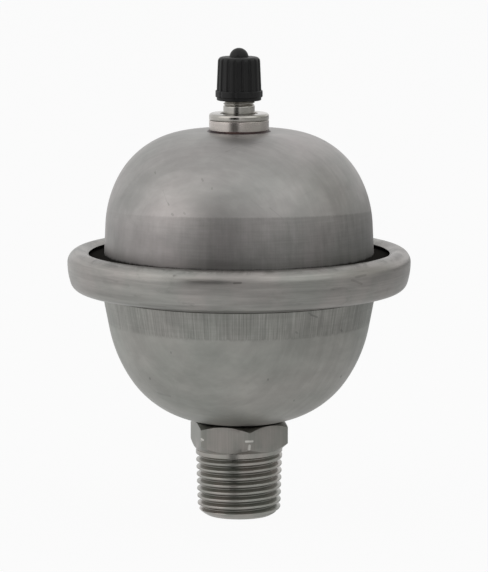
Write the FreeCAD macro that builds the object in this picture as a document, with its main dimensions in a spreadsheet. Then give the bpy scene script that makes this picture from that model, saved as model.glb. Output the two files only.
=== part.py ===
import FreeCAD, Part
import math
import os
import Sketcher

# A small diaphragm expansion tank: two drawn steel shells held by a rolled clamp ring, a pipe connector
# welded below and a capped inflation valve above. Millimetres; +Z is up and the origin is the centre of
# the connector's end face. Every outline is drawn as distance from the axis against height.

SIZES = (
    # Drawn shells
    ("shell_sheet", 1.2),
    ("bowl_flat_radius", 6.67),
    ("bowl_corner_radius", 24.16),
    ("bowl_side_radius", 34.75),
    ("bowl_blend_angle", 33.83),
    ("bowl_draft_angle", 10.86),
    ("bowl_bend_radius", 1.0),
    ("bowl_rise", 39.73),
    ("dome_rise", 32.05),
    ("dome_flat_radius", 11.14),
    ("dome_corner_radius", 20.98),
    ("dome_side_radius", 27.29),
    ("dome_blend_angle", 27.93),
    ("dome_draft_angle", 2.68),
    ("dome_bend_radius", 0.8),
    # Rolled clamp ring
    ("ring_sheet", 1.3),
    ("ring_radius", 42.24),
    ("ring_wall_radius", 16.5),
    ("ring_wall_angle", 17.3),
    ("ring_corner_radius", 2.9),
    ("ring_floor_angle", 11.0),
    ("ring_roll_radius", 3.0),
    ("ring_lip_angle", 138.3),
    ("ring_neck_gap", 0.12),
    ("seat_gap", 0.04),
    ("fit_gap", 0.02),
    # Diaphragm
    ("rubber_thickness", 1.6),
    ("rubber_gap", 0.25),
    ("bead_width", 3.43),
    ("bead_edge_gap", 0.4),
    ("bead_corner", 0.9),
    ("pad_radius", 6.0),
    ("pad_rise", 1.2),
    # Water connector
    ("pipe_thread_radius", 10.22),
    ("pipe_thread_pitch", 1.8143),
    ("pipe_thread_depth", 1.162),
    ("pipe_thread_start", -0.96),
    ("pipe_full_turns", 8.5),
    ("pipe_fade_turns", 0.75),
    ("pipe_neck_length", 0.978),
    ("pipe_flank_angle", 27.5),
    ("pipe_root_flat", 0.16),
    ("pipe_cut_over", 0.3),
    ("pipe_taper", 0.03125),
    ("pipe_end_radius", 8.1),
    ("pipe_end_chamfer", 2.2),
    ("water_bore_radius", 6.5),
    ("hex_across_flats", 22.0),
    ("hex_height", 6.65),
    ("hex_bottom_chamfer", 1.55),
    ("hex_top_chamfer", 1.1),
    ("hex_land", 0.15),
    ("spigot_radius", 8.6),
    # Valve boss and stem
    ("boss_rim_width", 0.93),
    ("boss_height", 2.85),
    ("boss_spigot_wall", 0.73),
    ("boss_edge", 0.2),
    ("boss_weld_leg", 0.5),
    ("boss_weld_hollow", 1.6),
    ("stem_flange_thickness", 1.65),
    ("stem_flange_round", 0.65),
    ("stem_relief_width", 0.75),
    ("stem_relief_depth", 0.45),
    ("stem_radius", 3.875),
    ("stem_neck_length", 10.25),
    ("stem_top_chamfer", 0.45),
    ("stem_foot_radius", 4.85),
    ("stem_foot_length", 3.9),
    ("stem_air_radius", 1.5),
    ("seal_section_radius", 0.62),
    ("seal_foot_gap", 0.28),
    # Valve core
    ("core_mouth_radius", 2.6),
    ("core_mouth_depth", 4.6),
    ("core_seat_depth", 6.1),
    ("core_chamber_radius", 2.05),
    ("core_chamber_depth", 12.4),
    ("plug_recess", 0.5),
    ("plug_length", 2.9),
    ("plug_bridge_width", 3.2),
    ("plug_bridge_depth", 1.1),
    ("plug_flat_depth", 1.5),
    ("barrel_radius", 1.62),
    ("barrel_bore_radius", 1.22),
    ("barrel_length", 6.0),
    ("barrel_ledge", 0.5),
    ("barrel_port_radius", 0.8),
    ("barrel_groove_depth", 0.2),
    ("barrel_seal_length", 1.1),
    ("pin_radius", 0.45),
    ("pin_gap", 0.05),
    ("pin_recess", 0.2),
    ("pin_collar_radius", 1.08),
    ("pin_collar_thickness", 0.4),
    ("pin_foot_radius", 0.8),
    ("pin_foot_height", 0.3),
    ("cup_radius", 1.62),
    ("cup_height", 1.1),
    ("cup_wall", 0.22),
    ("cup_seal_stand", 0.25),
    ("spring_wire_radius", 0.13),
    ("spring_coil_radius", 0.92),
    ("spring_turns", 6.0),
    ("spring_length", 4.7),
    # Valve cap
    ("cap_flange_gap", 3.15),
    ("cap_foot_radius", 5.45),
    ("cap_foot_height", 0.8),
    ("cap_lip_radius", 5.8),
    ("cap_lip_height", 1.6),
    ("cap_edge", 0.2),
    ("cap_body_radius", 5.5),
    ("cap_top_radius", 5.2),
    ("cap_roof_thickness", 2.46),
    ("cap_top_round", 1.1),
    ("cap_bore_gap", 0.06),
    ("cap_seal_thickness", 1.0),
    ("cap_seal_bore_radius", 1.6),
    ("cap_clocking", 17.7),
    ("nub_radius", 2.35),
    ("nub_height", 2.2),
    ("flute_count", 18),
    ("flute_radius", 0.45),
    ("flute_offset", 0.15),
)

QUARTER_TURN = 90.0
HALF_TURN = 180.0
FULL_TURN = 360.0

# How many turns of the pipe thread each swept piece of its path covers
HELIX_PIECE_TURNS = 0.5

# A hexagon's corner radius for each unit of width across its flats
CORNER_PER_FLAT = 1 / math.sqrt(3)

# How far past the cap's grip the fluting cutter runs, as a share of the grip's height
FLUTE_OVERRUN = 1.5

# The sketcher's numbers for its two axes, its origin and the points of an edge
X_AXIS_ID = -1
Y_AXIS_ID = -2
ORIGIN_ID = (-1, 1)
HEAD_ID = 1
TAIL_ID = 2
CENTRE_ID = 3


class Size:
    """A length that knows its number and the sheet expression that the number comes from."""

    def __init__(self, value, text):
        self.value = value
        self.text = text

    def __add__(self, other):
        other = as_size(other)
        return Size(self.value + other.value, f"({self.text} + {other.text})")

    def __sub__(self, other):
        other = as_size(other)
        return Size(self.value - other.value, f"({self.text} - {other.text})")

    def __mul__(self, other):
        other = as_size(other)
        return Size(self.value * other.value, f"({self.text} * {other.text})")

    def __truediv__(self, other):
        other = as_size(other)
        return Size(self.value / other.value, f"({self.text} / {other.text})")


def as_size(number):
    """A plain number as a size."""
    return number if isinstance(number, Size) else Size(float(number), repr(float(number)))


def cosine(angle):
    return Size(math.cos(math.radians(angle.value)), f"cos({angle.text})")


def sine(angle):
    return Size(math.sin(math.radians(angle.value)), f"sin({angle.text})")


def tangent(angle):
    return Size(math.tan(math.radians(angle.value)), f"tan({angle.text})")


class Sheet:
    """The driving sizes: sheet.name gives one as a Size."""

    def __init__(self, document):
        cells = document.addObject("Spreadsheet::Sheet", "Sizes")
        for row, (alias, number) in enumerate(SIZES, start=1):
            cells.set(f"A{row}", alias.replace("_", " "))
            cells.set(f"B{row}", str(number))
            cells.setAlias(f"B{row}", alias)
        document.recompute()
        self.numbers = dict(SIZES)

    def __getattr__(self, alias):
        return Size(float(self.numbers[alias]), f"Sizes.{alias}")


class Outline:
    """A closed outline in a sketch, drawn edge by edge; every corner is tied to the sheet."""

    def __init__(self, body, name, x, y, role="XZ_Plane", document=None):
        if body is None:
            self.sketch = document.addObject("Sketcher::SketchObject", name)
            self.sketch.Placement.Rotation = FreeCAD.Rotation(FreeCAD.Vector(1, 0, 0), QUARTER_TURN)
        else:
            self.sketch = body.newObject("Sketcher::SketchObject", name)
            plane = [face for face in body.Origin.OriginFeatures if face.Role == role][0]
            self.sketch.AttachmentSupport = [(plane, "")]
            self.sketch.MapMode = "FlatFace"
        self.start = (as_size(x), as_size(y))
        self.here = self.start
        self.edges = []

    def line_to(self, x, y):
        there = (as_size(x), as_size(y))
        edge = Part.LineSegment(vector(self.here), vector(there))
        self.edges.append((self.sketch.addGeometry(edge, False), HEAD_ID, TAIL_ID))
        self.pin_end(there)
        return self

    def arc_to(self, x, y, radius, turn):
        """An arc under a half turn; turn is 1 when it runs anticlockwise and -1 when clockwise."""
        there = (as_size(x), as_size(y))
        radius = as_size(radius)
        first = vector(self.here)
        last = vector(there)
        chord = last - first
        rise = math.sqrt(max(radius.value ** 2 - (chord.Length / 2) ** 2, 0.0))
        across = FreeCAD.Vector(-chord.y, chord.x, 0).normalize()
        centre = (first + last) / 2 + across * rise * turn
        angles = [math.atan2(p.y - centre.y, p.x - centre.x) for p in (first, last)]
        circle = Part.Circle(centre, FreeCAD.Vector(0, 0, 1), radius.value)
        low, high = angles if turn > 0 else reversed(angles)
        index = self.sketch.addGeometry(Part.ArcOfCircle(circle, low, high), False)
        self.edges.append((index, HEAD_ID, TAIL_ID) if turn > 0 else (index, TAIL_ID, HEAD_ID))
        self.pin_end(there)
        label = self.sketch.addConstraint(Sketcher.Constraint("Radius", index, radius.value))
        self.bind(label, radius)
        return self

    def close(self):
        """The closing line back to the first corner."""
        edge = Part.LineSegment(vector(self.here), vector(self.start))
        self.edges.append((self.sketch.addGeometry(edge, False), HEAD_ID, TAIL_ID))
        pairs = zip(self.edges, self.edges[1:] + self.edges[:1])
        for (one, _, tail), (two, head, _) in pairs:
            self.sketch.addConstraint(Sketcher.Constraint("Coincident", one, tail, two, head))
        last = self.edges[-1]
        self.pin_point(last[0], last[2], self.start)
        return self.sketch

    def hole(self, radius):
        """A round hole about the origin, inside the outline."""
        circle = Part.Circle(FreeCAD.Vector(0, 0, 0), FreeCAD.Vector(0, 0, 1), radius.value)
        index = self.sketch.addGeometry(circle, False)
        self.sketch.addConstraint(Sketcher.Constraint("Coincident", index, CENTRE_ID, *ORIGIN_ID))
        self.bind(self.sketch.addConstraint(Sketcher.Constraint("Radius", index, radius.value)), radius)

    def pin_end(self, there):
        index, _, tail = self.edges[-1]
        self.pin_point(index, tail, there)
        self.here = there

    def pin_point(self, index, end, place):
        """Ties one end of an edge to its distance from the axis and its height."""
        for kind, size, own_axis in (("DistanceX", place[0], Y_AXIS_ID), ("DistanceY", place[1], X_AXIS_ID)):
            if size.text == "0.0":
                self.sketch.addConstraint(Sketcher.Constraint("PointOnObject", index, end, own_axis))
                continue
            rule = Sketcher.Constraint(kind, *ORIGIN_ID, index, end, size.value)
            self.bind(self.sketch.addConstraint(rule), size)

    def bind(self, label, size):
        self.sketch.setExpression(f"Constraints[{label}]", size.text)


def vector(place):
    return FreeCAD.Vector(place[0].value, place[1].value, 0)


def new_body(document, label):
    body = document.addObject("PartDesign::Body", label)
    body.Label = label
    return body


def revolve(body, sketch, name="Revolution"):
    """A full turn of an outline about the body's height."""
    feature = body.newObject("PartDesign::Revolution", name)
    feature.Profile = sketch
    feature.ReferenceAxis = (sketch, ["V_Axis"])
    feature.Angle = FULL_TURN
    body.Tip = feature
    return feature


def groove(body, sketch, name="Groove"):
    """A full turn of an outline, cut from the body."""
    feature = body.newObject("PartDesign::Groove", name)
    feature.Profile = sketch
    feature.ReferenceAxis = (sketch, ["V_Axis"])
    feature.Angle = FULL_TURN
    body.Tip = feature
    return feature


def hex_bottom(s):
    """The thread's full turns, its run-out and a plain neck lie below the hexagon."""
    turns = s.pipe_full_turns + s.pipe_fade_turns
    return s.pipe_thread_start + s.pipe_thread_pitch * turns + s.pipe_neck_length


def bowl_bottom(s):
    return hex_bottom(s) + s.hex_height + s.fit_gap


def ring_waist(s):
    return bowl_bottom(s) + s.bowl_rise


def dome_top(s):
    return ring_waist(s) + s.dome_rise


class DrawnWall:
    """The corners of a drawn sheet: flat end, tight corner, fuller side, drafted wall, bend and flange.

    Heights run from the closed end; place(height) turns them into heights on the tank.
    """

    def __init__(self, flat, corner, side, blend, draft, bend, flange_slope, flange_point, flange_edge):
        self.flat = flat
        self.corner = corner
        self.side = side
        self.blend = blend
        self.draft = draft
        self.bend = bend
        self.slope = flange_slope
        self.edge = flange_edge
        self.side_centre = (
            flat + (corner - side) * cosine(blend),
            corner + (side - corner) * sine(blend),
        )
        wall_foot = (
            self.side_centre[0] + side * cosine(draft),
            self.side_centre[1] - side * sine(draft),
        )
        wall_reach = bend + cosine(draft) * wall_foot[0] - sine(draft) * wall_foot[1]
        flange_reach = bend + sine(flange_slope) * flange_point[0] - cosine(flange_slope) * flange_point[1]
        spread = cosine(draft) * cosine(flange_slope) - sine(draft) * sine(flange_slope)
        self.bend_centre = (
            (wall_reach * cosine(flange_slope) - sine(draft) * flange_reach) / spread,
            (sine(flange_slope) * wall_reach - cosine(draft) * flange_reach) / spread,
        )

    def corner_end(self, inset):
        radius = self.corner - inset
        return (
            self.flat + radius * cosine(self.blend),
            self.corner - radius * sine(self.blend),
        )

    def side_end(self, inset):
        radius = self.side - inset
        return (
            self.side_centre[0] + radius * cosine(self.draft),
            self.side_centre[1] - radius * sine(self.draft),
        )

    def bend_start(self, inset):
        radius = self.bend + inset
        return (
            self.bend_centre[0] - radius * cosine(self.draft),
            self.bend_centre[1] + radius * sine(self.draft),
        )

    def bend_end(self, inset):
        radius = self.bend + inset
        return (
            self.bend_centre[0] - radius * sine(self.slope),
            self.bend_centre[1] + radius * cosine(self.slope),
        )

    def flange_end(self, inset):
        start = self.bend_end(inset)
        return (self.edge, start[1] + (self.edge - start[0]) * tangent(self.slope))


def wall_steps(wall, inset):
    """The edges along one face of the sheet, each with the point it ends at."""
    return (
        ("line", (wall.flat, inset), None, 0),
        ("arc", wall.corner_end(inset), wall.corner - inset, 1),
        ("arc", wall.side_end(inset), wall.side - inset, 1),
        ("line", wall.bend_start(inset), None, 0),
        ("arc", wall.bend_end(inset), wall.bend + inset, -1),
        ("line", wall.flange_end(inset), None, 0),
    )


def go(outline, kind, spot, radius, turn, place):
    if kind == "line":
        outline.line_to(spot[0], place(spot[1]))
    else:
        outline.arc_to(spot[0], place(spot[1]), radius, turn)


def draw_sheet(body, name, wall, outer, inner, place, hand):
    """Out along the sheet's outer face, across the flange's edge and back along its inner face."""
    outline = Outline(body, name, as_size(0), place(outer))
    for kind, spot, radius, turn in wall_steps(wall, outer):
        go(outline, kind, spot, radius, turn * hand, place)
    back = list(reversed(wall_steps(wall, inner)))
    outline.line_to(back[0][1][0], place(back[0][1][1]))
    for (kind, _, radius, turn), (_, spot, _, _) in zip(back, back[1:]):
        go(outline, kind, spot, radius, -turn * hand, place)
    outline.line_to(as_size(0), place(inner))
    return outline.close()


def pierce(body, radius, low, high):
    """The round hole punched through the middle of a drawn sheet."""
    outline = Outline(body, "HoleSection", as_size(0), low)
    outline.line_to(radius, low)
    outline.line_to(radius, high)
    outline.line_to(as_size(0), high)
    groove(body, outline.close(), "Hole")


class Ring:
    """The corners of the clamp ring's section, worked out from its waist."""

    def __init__(self, s):
        self.s = s
        self.wall_centre = (s.ring_radius - s.ring_wall_radius, ring_waist(s))
        self.corner_centre = (
            self.wall_centre[0] + (s.ring_wall_radius - s.ring_corner_radius) * cosine(s.ring_wall_angle),
            self.wall_centre[1] - (s.ring_wall_radius - s.ring_corner_radius) * sine(s.ring_wall_angle),
        )
        self.roll_centre = (s.ring_radius - s.ring_roll_radius, ring_waist(s))

    def floor_end(self, inset):
        radius = self.s.ring_corner_radius - inset
        return (
            self.corner_centre[0] + radius * sine(self.s.ring_floor_angle),
            self.corner_centre[1] - radius * cosine(self.s.ring_floor_angle),
        )

    def floor_at(self, radius, inset):
        end = self.floor_end(inset)
        return (radius, end[1] - (end[0] - radius) * tangent(self.s.ring_floor_angle))

    def wall_foot(self, inset):
        radius = self.s.ring_wall_radius - inset
        return (
            self.wall_centre[0] + radius * cosine(self.s.ring_wall_angle),
            self.wall_centre[1] - radius * sine(self.s.ring_wall_angle),
        )

    def waist(self, inset):
        return (self.s.ring_radius - inset, ring_waist(self.s))

    def lip(self, inset):
        radius = self.s.ring_roll_radius - inset
        return (
            self.roll_centre[0] + radius * cosine(self.s.ring_lip_angle),
            self.roll_centre[1] + radius * sine(self.s.ring_lip_angle),
        )


def bowl_wall(s):
    """The lower shell's sheet; its flange lies on the ring's floor."""
    ring = Ring(s)
    edge = ring.floor_end(s.ring_sheet)
    lying = (edge[0], edge[1] - bowl_bottom(s) + s.seat_gap)
    return DrawnWall(s.bowl_flat_radius, s.bowl_corner_radius, s.bowl_side_radius, s.bowl_blend_angle,
                     s.bowl_draft_angle, s.bowl_bend_radius, s.ring_floor_angle, lying, edge[0])


def dome_wall(s):
    """The upper shell's sheet; its flange lies under the ring's lip."""
    ring = Ring(s)
    edge = ring.floor_end(s.ring_sheet)
    under = (edge[0], dome_top(s) - ring.lip(s.ring_sheet)[1] + s.seat_gap)
    flat = as_size(0)
    return DrawnWall(s.dome_flat_radius, s.dome_corner_radius, s.dome_side_radius, s.dome_blend_angle,
                     s.dome_draft_angle, s.dome_bend_radius, flat, under, edge[0])


def up_from_bowl(s):
    return lambda height: bowl_bottom(s) + height


def down_from_dome(s):
    return lambda height: dome_top(s) - height


def make_lower_shell(document, s):
    """The water side: a bowl whose flange lies on the ring's floor, with a hole for the connector."""
    body = new_body(document, "lower_shell")
    up = up_from_bowl(s)
    revolve(body, draw_sheet(body, "Section", bowl_wall(s), as_size(0), s.shell_sheet, up, 1))
    pierce(body, s.spigot_radius + s.fit_gap, up(s.shell_sheet * -1), up(s.shell_sheet * 2))


def make_upper_shell(document, s):
    """The gas side: a flat-topped dome whose flange lies under the ring's lip, with a hole for the boss."""
    body = new_body(document, "upper_shell")
    down = down_from_dome(s)
    revolve(body, draw_sheet(body, "Section", dome_wall(s), as_size(0), s.shell_sheet, down, -1))
    pierce(body, boss_spigot_radius(s) + s.fit_gap, down(s.shell_sheet * 2), down(s.shell_sheet * -1))


def make_clamp_ring(document, s):
    """One rolled strip: a floor under the flanges, a bellied wall and a lip rolled in over the top."""
    body = new_body(document, "clamp_ring")
    ring = Ring(s)
    bowl = bowl_wall(s)
    low_edge = ring.floor_at(bowl.bend_start(as_size(0))[0] + s.ring_neck_gap, as_size(0))
    high_edge = ring.floor_at(bowl.bend_centre[0], s.ring_sheet)
    outline = Outline(body, "Section", *low_edge)
    outline.line_to(*ring.floor_end(as_size(0)))
    outline.arc_to(*ring.wall_foot(as_size(0)), s.ring_corner_radius, 1)
    outline.arc_to(*ring.waist(as_size(0)), s.ring_wall_radius, 1)
    outline.arc_to(*ring.lip(as_size(0)), s.ring_roll_radius, 1)
    outline.line_to(*ring.lip(s.ring_sheet))
    outline.arc_to(*ring.waist(s.ring_sheet), s.ring_roll_radius - s.ring_sheet, -1)
    outline.arc_to(*ring.wall_foot(s.ring_sheet), s.ring_wall_radius - s.ring_sheet, -1)
    outline.arc_to(*ring.floor_end(s.ring_sheet), s.ring_corner_radius - s.ring_sheet, -1)
    outline.line_to(*high_edge)
    revolve(body, outline.close())


def make_diaphragm(document, s):
    """A rubber cup that lies just inside the bowl, thick over the water port, with a bead at its rim."""
    body = new_body(document, "diaphragm")
    bowl = bowl_wall(s)
    dome = dome_wall(s)
    outer = s.shell_sheet + s.rubber_gap
    inner = outer + s.rubber_thickness
    bead_outer = bowl.edge - s.bead_edge_gap
    bead_inner = bead_outer - s.bead_width
    rim = bowl_wall(s)
    rim.edge = bead_inner + s.bead_corner
    up = up_from_bowl(s)
    sketch = draw_sheet(body, "CupSection", rim, outer, inner, up, 1)
    revolve(body, sketch, "Cup")

    floor = bowl.bend_end(s.shell_sheet)
    slope = tangent(s.ring_floor_angle)
    roof = dome_top(s) - dome.bend_end(s.shell_sheet)[1] - s.seat_gap
    bead = Outline(body, "BeadSection", bead_inner,
                   up(floor[1] + (bead_inner - floor[0]) * slope + s.seat_gap))
    bead.line_to(bead_outer, up(floor[1] + (bead_outer - floor[0]) * slope + s.seat_gap))
    bead.line_to(bead_outer, roof - s.bead_corner)
    bead.line_to(bead_outer - s.bead_corner, roof)
    bead.line_to(bead_inner + s.bead_corner, roof)
    bead.line_to(bead_inner, roof - s.bead_corner)
    revolve(body, bead.close(), "Bead")

    middle = outer + s.rubber_thickness / 2
    pad = Outline(body, "PadSection", as_size(0), up(middle))
    pad.line_to(s.pad_radius, up(middle))
    pad.line_to(s.pad_radius, up(inner + s.pad_rise / 2))
    pad.line_to(s.pad_radius - s.pad_rise / 2, up(inner + s.pad_rise))
    pad.line_to(as_size(0), up(inner + s.pad_rise))
    revolve(body, pad.close(), "Pad")


def pipe_crest(s, height):
    """The radius over the pipe thread's crests; it widens with height."""
    return s.pipe_thread_radius + height * s.pipe_taper


def make_water_connector(document, s):
    """Turned from hexagon bar: tapered thread blank, hex and a spigot through the bowl, bored through."""
    body = new_body(document, "connector_blank")
    bowl_top = bowl_bottom(s) + s.shell_sheet
    seat = bowl_bottom(s) - s.fit_gap
    outline = Outline(body, "TurnedSection", s.water_bore_radius, as_size(0))
    outline.line_to(s.pipe_end_radius, as_size(0))
    outline.line_to(pipe_crest(s, s.pipe_end_chamfer), s.pipe_end_chamfer)
    outline.line_to(pipe_crest(s, hex_bottom(s)), hex_bottom(s))
    outline.line_to(pipe_crest(s, hex_bottom(s)), seat)
    outline.line_to(s.spigot_radius, seat)
    outline.line_to(s.spigot_radius, bowl_top)
    outline.line_to(s.water_bore_radius, bowl_top)
    revolve(body, outline.close(), "Turning")
    add_hex(body, s, seat)
    bevel_hex(body, s, seat)
    cut_pipe_thread(document, body, s)


def add_hex(body, s, top):
    """The hexagon; its corners point along X, so that two flats face along Y."""
    flat = s.hex_across_flats / 2
    corner = s.hex_across_flats * CORNER_PER_FLAT
    outline = Outline(body, "HexOutline", corner, as_size(0), "XY_Plane")
    for x, y in ((corner / 2, flat), (corner / -2, flat), (corner * -1, as_size(0)),
                 (corner / -2, flat * -1), (corner / 2, flat * -1)):
        outline.line_to(x, y)
    sketch = outline.close()
    outline.hole(s.spigot_radius)
    sketch.setExpression("AttachmentOffset.Base.z", hex_bottom(s).text)
    pad = body.newObject("PartDesign::Pad", "Hex")
    pad.Profile = sketch
    pad.setExpression("Length", (top - hex_bottom(s)).text)
    body.Tip = pad


def bevel_hex(body, s, top):
    """The cones turned on the hexagon's two ends."""
    land = s.hex_across_flats / 2 - s.hex_land
    corner = s.hex_across_flats * CORNER_PER_FLAT
    past = corner + s.hex_land
    for name, height, bevel in (("LowBevel", hex_bottom(s), s.hex_bottom_chamfer),
                                ("HighBevel", top, s.hex_top_chamfer * -1)):
        outline = Outline(body, name + "Section", land, height)
        outline.line_to(past, height)
        outline.line_to(past, height + bevel * (past - land) / (corner - land))
        groove(body, outline.close(), name)


def cut_pipe_thread(document, body, s):
    """The right-hand V groove: full depth from below the end face, then a run-out before the hex."""
    low = s.pipe_thread_start
    high = low + s.pipe_thread_pitch * s.pipe_full_turns
    fade = s.pipe_thread_depth / (s.pipe_thread_pitch * s.pipe_fade_turns)
    full = thread_cutter(document, s, "FullGroove", 1, low, s.pipe_full_turns, s.pipe_taper)
    first = document.addObject("Part::Cut", "FullThread")
    first.Base = body
    first.Tool = full
    run_out = thread_cutter(document, s, "RunOut", -1, high, s.pipe_fade_turns, s.pipe_taper + fade)
    second = document.addObject("Part::Cut", "water_connector")
    second.Label = "water_connector"
    second.Base = first
    second.Tool = run_out


def thread_cutter(document, s, name, side, low, turns, slope):
    """A V section swept up a helix that widens with height; side is 1 to start on +X and -1 on -X."""
    crest = pipe_crest(s, low)
    half_angle = s.pipe_flank_angle
    wide = s.pipe_root_flat / 2 + (s.pipe_thread_depth + s.pipe_cut_over) * tangent(half_angle)
    narrow = s.pipe_root_flat / 2
    outline = Outline(None, name + "Section", (crest + s.pipe_cut_over) * side, low - wide, document=document)
    outline.line_to((crest + s.pipe_cut_over) * side, low + wide)
    outline.line_to((crest - s.pipe_thread_depth) * side, low + narrow)
    outline.line_to((crest - s.pipe_thread_depth) * side, low - narrow)
    section = outline.close()
    path = document.addObject("Part::Helix", name + "Path")
    path.Style = 1
    path.SegmentLength = HELIX_PIECE_TURNS
    path.setExpression("Pitch", s.pipe_thread_pitch.text)
    path.setExpression("Height", (s.pipe_thread_pitch * turns).text)
    path.setExpression("Radius", crest.text)
    path.setExpression("Angle", f"atan({as_size(slope).text})")
    path.setExpression("Placement.Base.z", low.text)
    if side < 0:
        path.Placement.Rotation = FreeCAD.Rotation(FreeCAD.Vector(0, 0, 1), HALF_TURN)
    document.recompute()
    cutter = document.addObject("Part::Sweep", name)
    cutter.Sections = [section]
    cutter.Spine = path
    cutter.Solid = True
    cutter.Frenet = True
    return cutter


def boss_bore(s):
    return s.stem_foot_radius + s.fit_gap


def boss_spigot_radius(s):
    return boss_bore(s) + s.boss_spigot_wall


def seal_ring_radius(s):
    return s.stem_foot_radius + s.seal_foot_gap + s.seal_section_radius


def seal_pocket_radius(s):
    return seal_ring_radius(s) + s.seal_section_radius + s.seat_gap


def boss_radius(s):
    return seal_pocket_radius(s) + s.boss_rim_width


def boss_top(s):
    return dome_top(s) + s.boss_height


def flange_top(s):
    return boss_top(s) + s.stem_flange_thickness


def stem_top(s):
    return flange_top(s) + s.stem_neck_length


def seal_pocket_depth(s):
    return s.seal_section_radius * 2 + s.seat_gap


def make_valve_boss(document, s):
    """A turned boss with a spigot through the dome, tapped for the stem and recessed for its seal ring."""
    body = new_body(document, "valve_boss")
    foot = dome_top(s) - s.shell_sheet
    seat = dome_top(s) + s.fit_gap
    bore = boss_bore(s)
    pocket = seal_pocket_radius(s)
    outline = Outline(body, "Section", bore, foot)
    outline.line_to(boss_spigot_radius(s), foot)
    outline.line_to(boss_spigot_radius(s), seat)
    outline.line_to(boss_radius(s), seat)
    outline.line_to(boss_radius(s), boss_top(s) - s.boss_edge)
    outline.line_to(boss_radius(s) - s.boss_edge, boss_top(s))
    outline.line_to(pocket, boss_top(s))
    outline.line_to(pocket, boss_top(s) - seal_pocket_depth(s))
    outline.line_to(bore, boss_top(s) - seal_pocket_depth(s))
    revolve(body, outline.close())


def make_boss_weld(document, s):
    """The hollow-faced weld run round the boss's foot."""
    body = new_body(document, "boss_weld")
    inner = boss_radius(s) + s.fit_gap
    foot = dome_top(s) + s.fit_gap
    outline = Outline(body, "Section", inner, foot)
    outline.line_to(inner + s.boss_weld_leg, foot)
    outline.arc_to(inner, foot + s.boss_weld_leg, s.boss_weld_leg * s.boss_weld_hollow, -1)
    revolve(body, outline.close())


def make_stem_seal(document, s):
    """The seal ring under the stem's flange."""
    ring = document.addObject("Part::Torus", "stem_seal")
    ring.Label = "stem_seal"
    ring.setExpression("Radius1", seal_ring_radius(s).text)
    ring.setExpression("Radius2", s.seal_section_radius.text)
    middle = boss_top(s) - seal_pocket_depth(s) / 2
    ring.setExpression("Placement.Base.z", middle.text)


def make_valve_stem(document, s):
    """Foot in the boss, round flange, relief ring and a long threaded neck bored for the core."""
    body = new_body(document, "valve_stem")
    foot = boss_top(s) - s.stem_foot_length
    seat = boss_top(s) + s.fit_gap
    top = stem_top(s)
    relief = s.stem_radius + s.stem_relief_width
    outline = Outline(body, "Section", s.stem_air_radius, foot)
    outline.line_to(s.stem_foot_radius, foot)
    outline.line_to(s.stem_foot_radius, seat)
    outline.line_to(boss_radius(s) - s.boss_edge, seat)
    outline.line_to(boss_radius(s), seat + s.boss_edge)
    outline.line_to(boss_radius(s), flange_top(s) - s.stem_flange_round)
    outline.arc_to(boss_radius(s) - s.stem_flange_round, flange_top(s), s.stem_flange_round, 1)
    outline.line_to(relief, flange_top(s))
    outline.line_to(relief, flange_top(s) - s.stem_relief_depth)
    outline.line_to(s.stem_radius, flange_top(s) - s.stem_relief_depth)
    outline.line_to(s.stem_radius, top - s.stem_top_chamfer)
    outline.line_to(s.stem_radius - s.stem_top_chamfer, top)
    outline.line_to(s.core_mouth_radius, top)
    outline.line_to(s.core_mouth_radius, top - s.core_mouth_depth)
    outline.line_to(s.core_chamber_radius, top - s.core_seat_depth)
    outline.line_to(s.core_chamber_radius, top - s.core_chamber_depth)
    outline.line_to(s.stem_air_radius, top - s.core_chamber_depth)
    revolve(body, outline.close())


def plug_top(s):
    return stem_top(s) - s.plug_recess


def barrel_top(s):
    return plug_top(s) - s.plug_length - s.fit_gap


def barrel_foot(s):
    return barrel_top(s) - s.barrel_length


def ledge_top(s):
    return barrel_foot(s) + s.barrel_ledge


def collar_foot(s):
    return ledge_top(s) + s.spring_length


def make_core_plug(document, s):
    """The core's threaded plug: a bridge across the top guides the pin and takes the core key."""
    body = new_body(document, "core_plug")
    foot = plug_top(s) - s.plug_length
    guide = s.pin_radius + s.pin_gap
    outline = Outline(body, "Section", s.barrel_bore_radius, foot)
    outline.line_to(s.core_mouth_radius - s.fit_gap, foot)
    outline.line_to(s.core_mouth_radius - s.fit_gap, plug_top(s))
    outline.line_to(guide, plug_top(s))
    outline.line_to(guide, plug_top(s) - s.plug_bridge_depth)
    outline.line_to(s.barrel_bore_radius, plug_top(s) - s.plug_bridge_depth)
    revolve(body, outline.close(), "Turning")
    for name, side in (("FlatOne", 1), ("FlatTwo", -1)):
        near = s.plug_bridge_width / 2 * side
        far = s.core_mouth_radius * side
        flat = Outline(body, name + "Outline", near, s.core_mouth_radius * -1, "XY_Plane")
        flat.line_to(far, s.core_mouth_radius * -1)
        flat.line_to(far, s.core_mouth_radius)
        flat.line_to(near, s.core_mouth_radius)
        sketch = flat.close()
        sketch.setExpression("AttachmentOffset.Base.z", plug_top(s).text)
        pocket = body.newObject("PartDesign::Pocket", name)
        pocket.Profile = sketch
        pocket.setExpression("Length", s.plug_flat_depth.text)
        body.Tip = pocket


def seal_foot(s):
    """The barrel seal's lower edge, a little above the narrow end of the stem's seat."""
    return stem_top(s) - s.core_seat_depth + s.seat_gap


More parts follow.
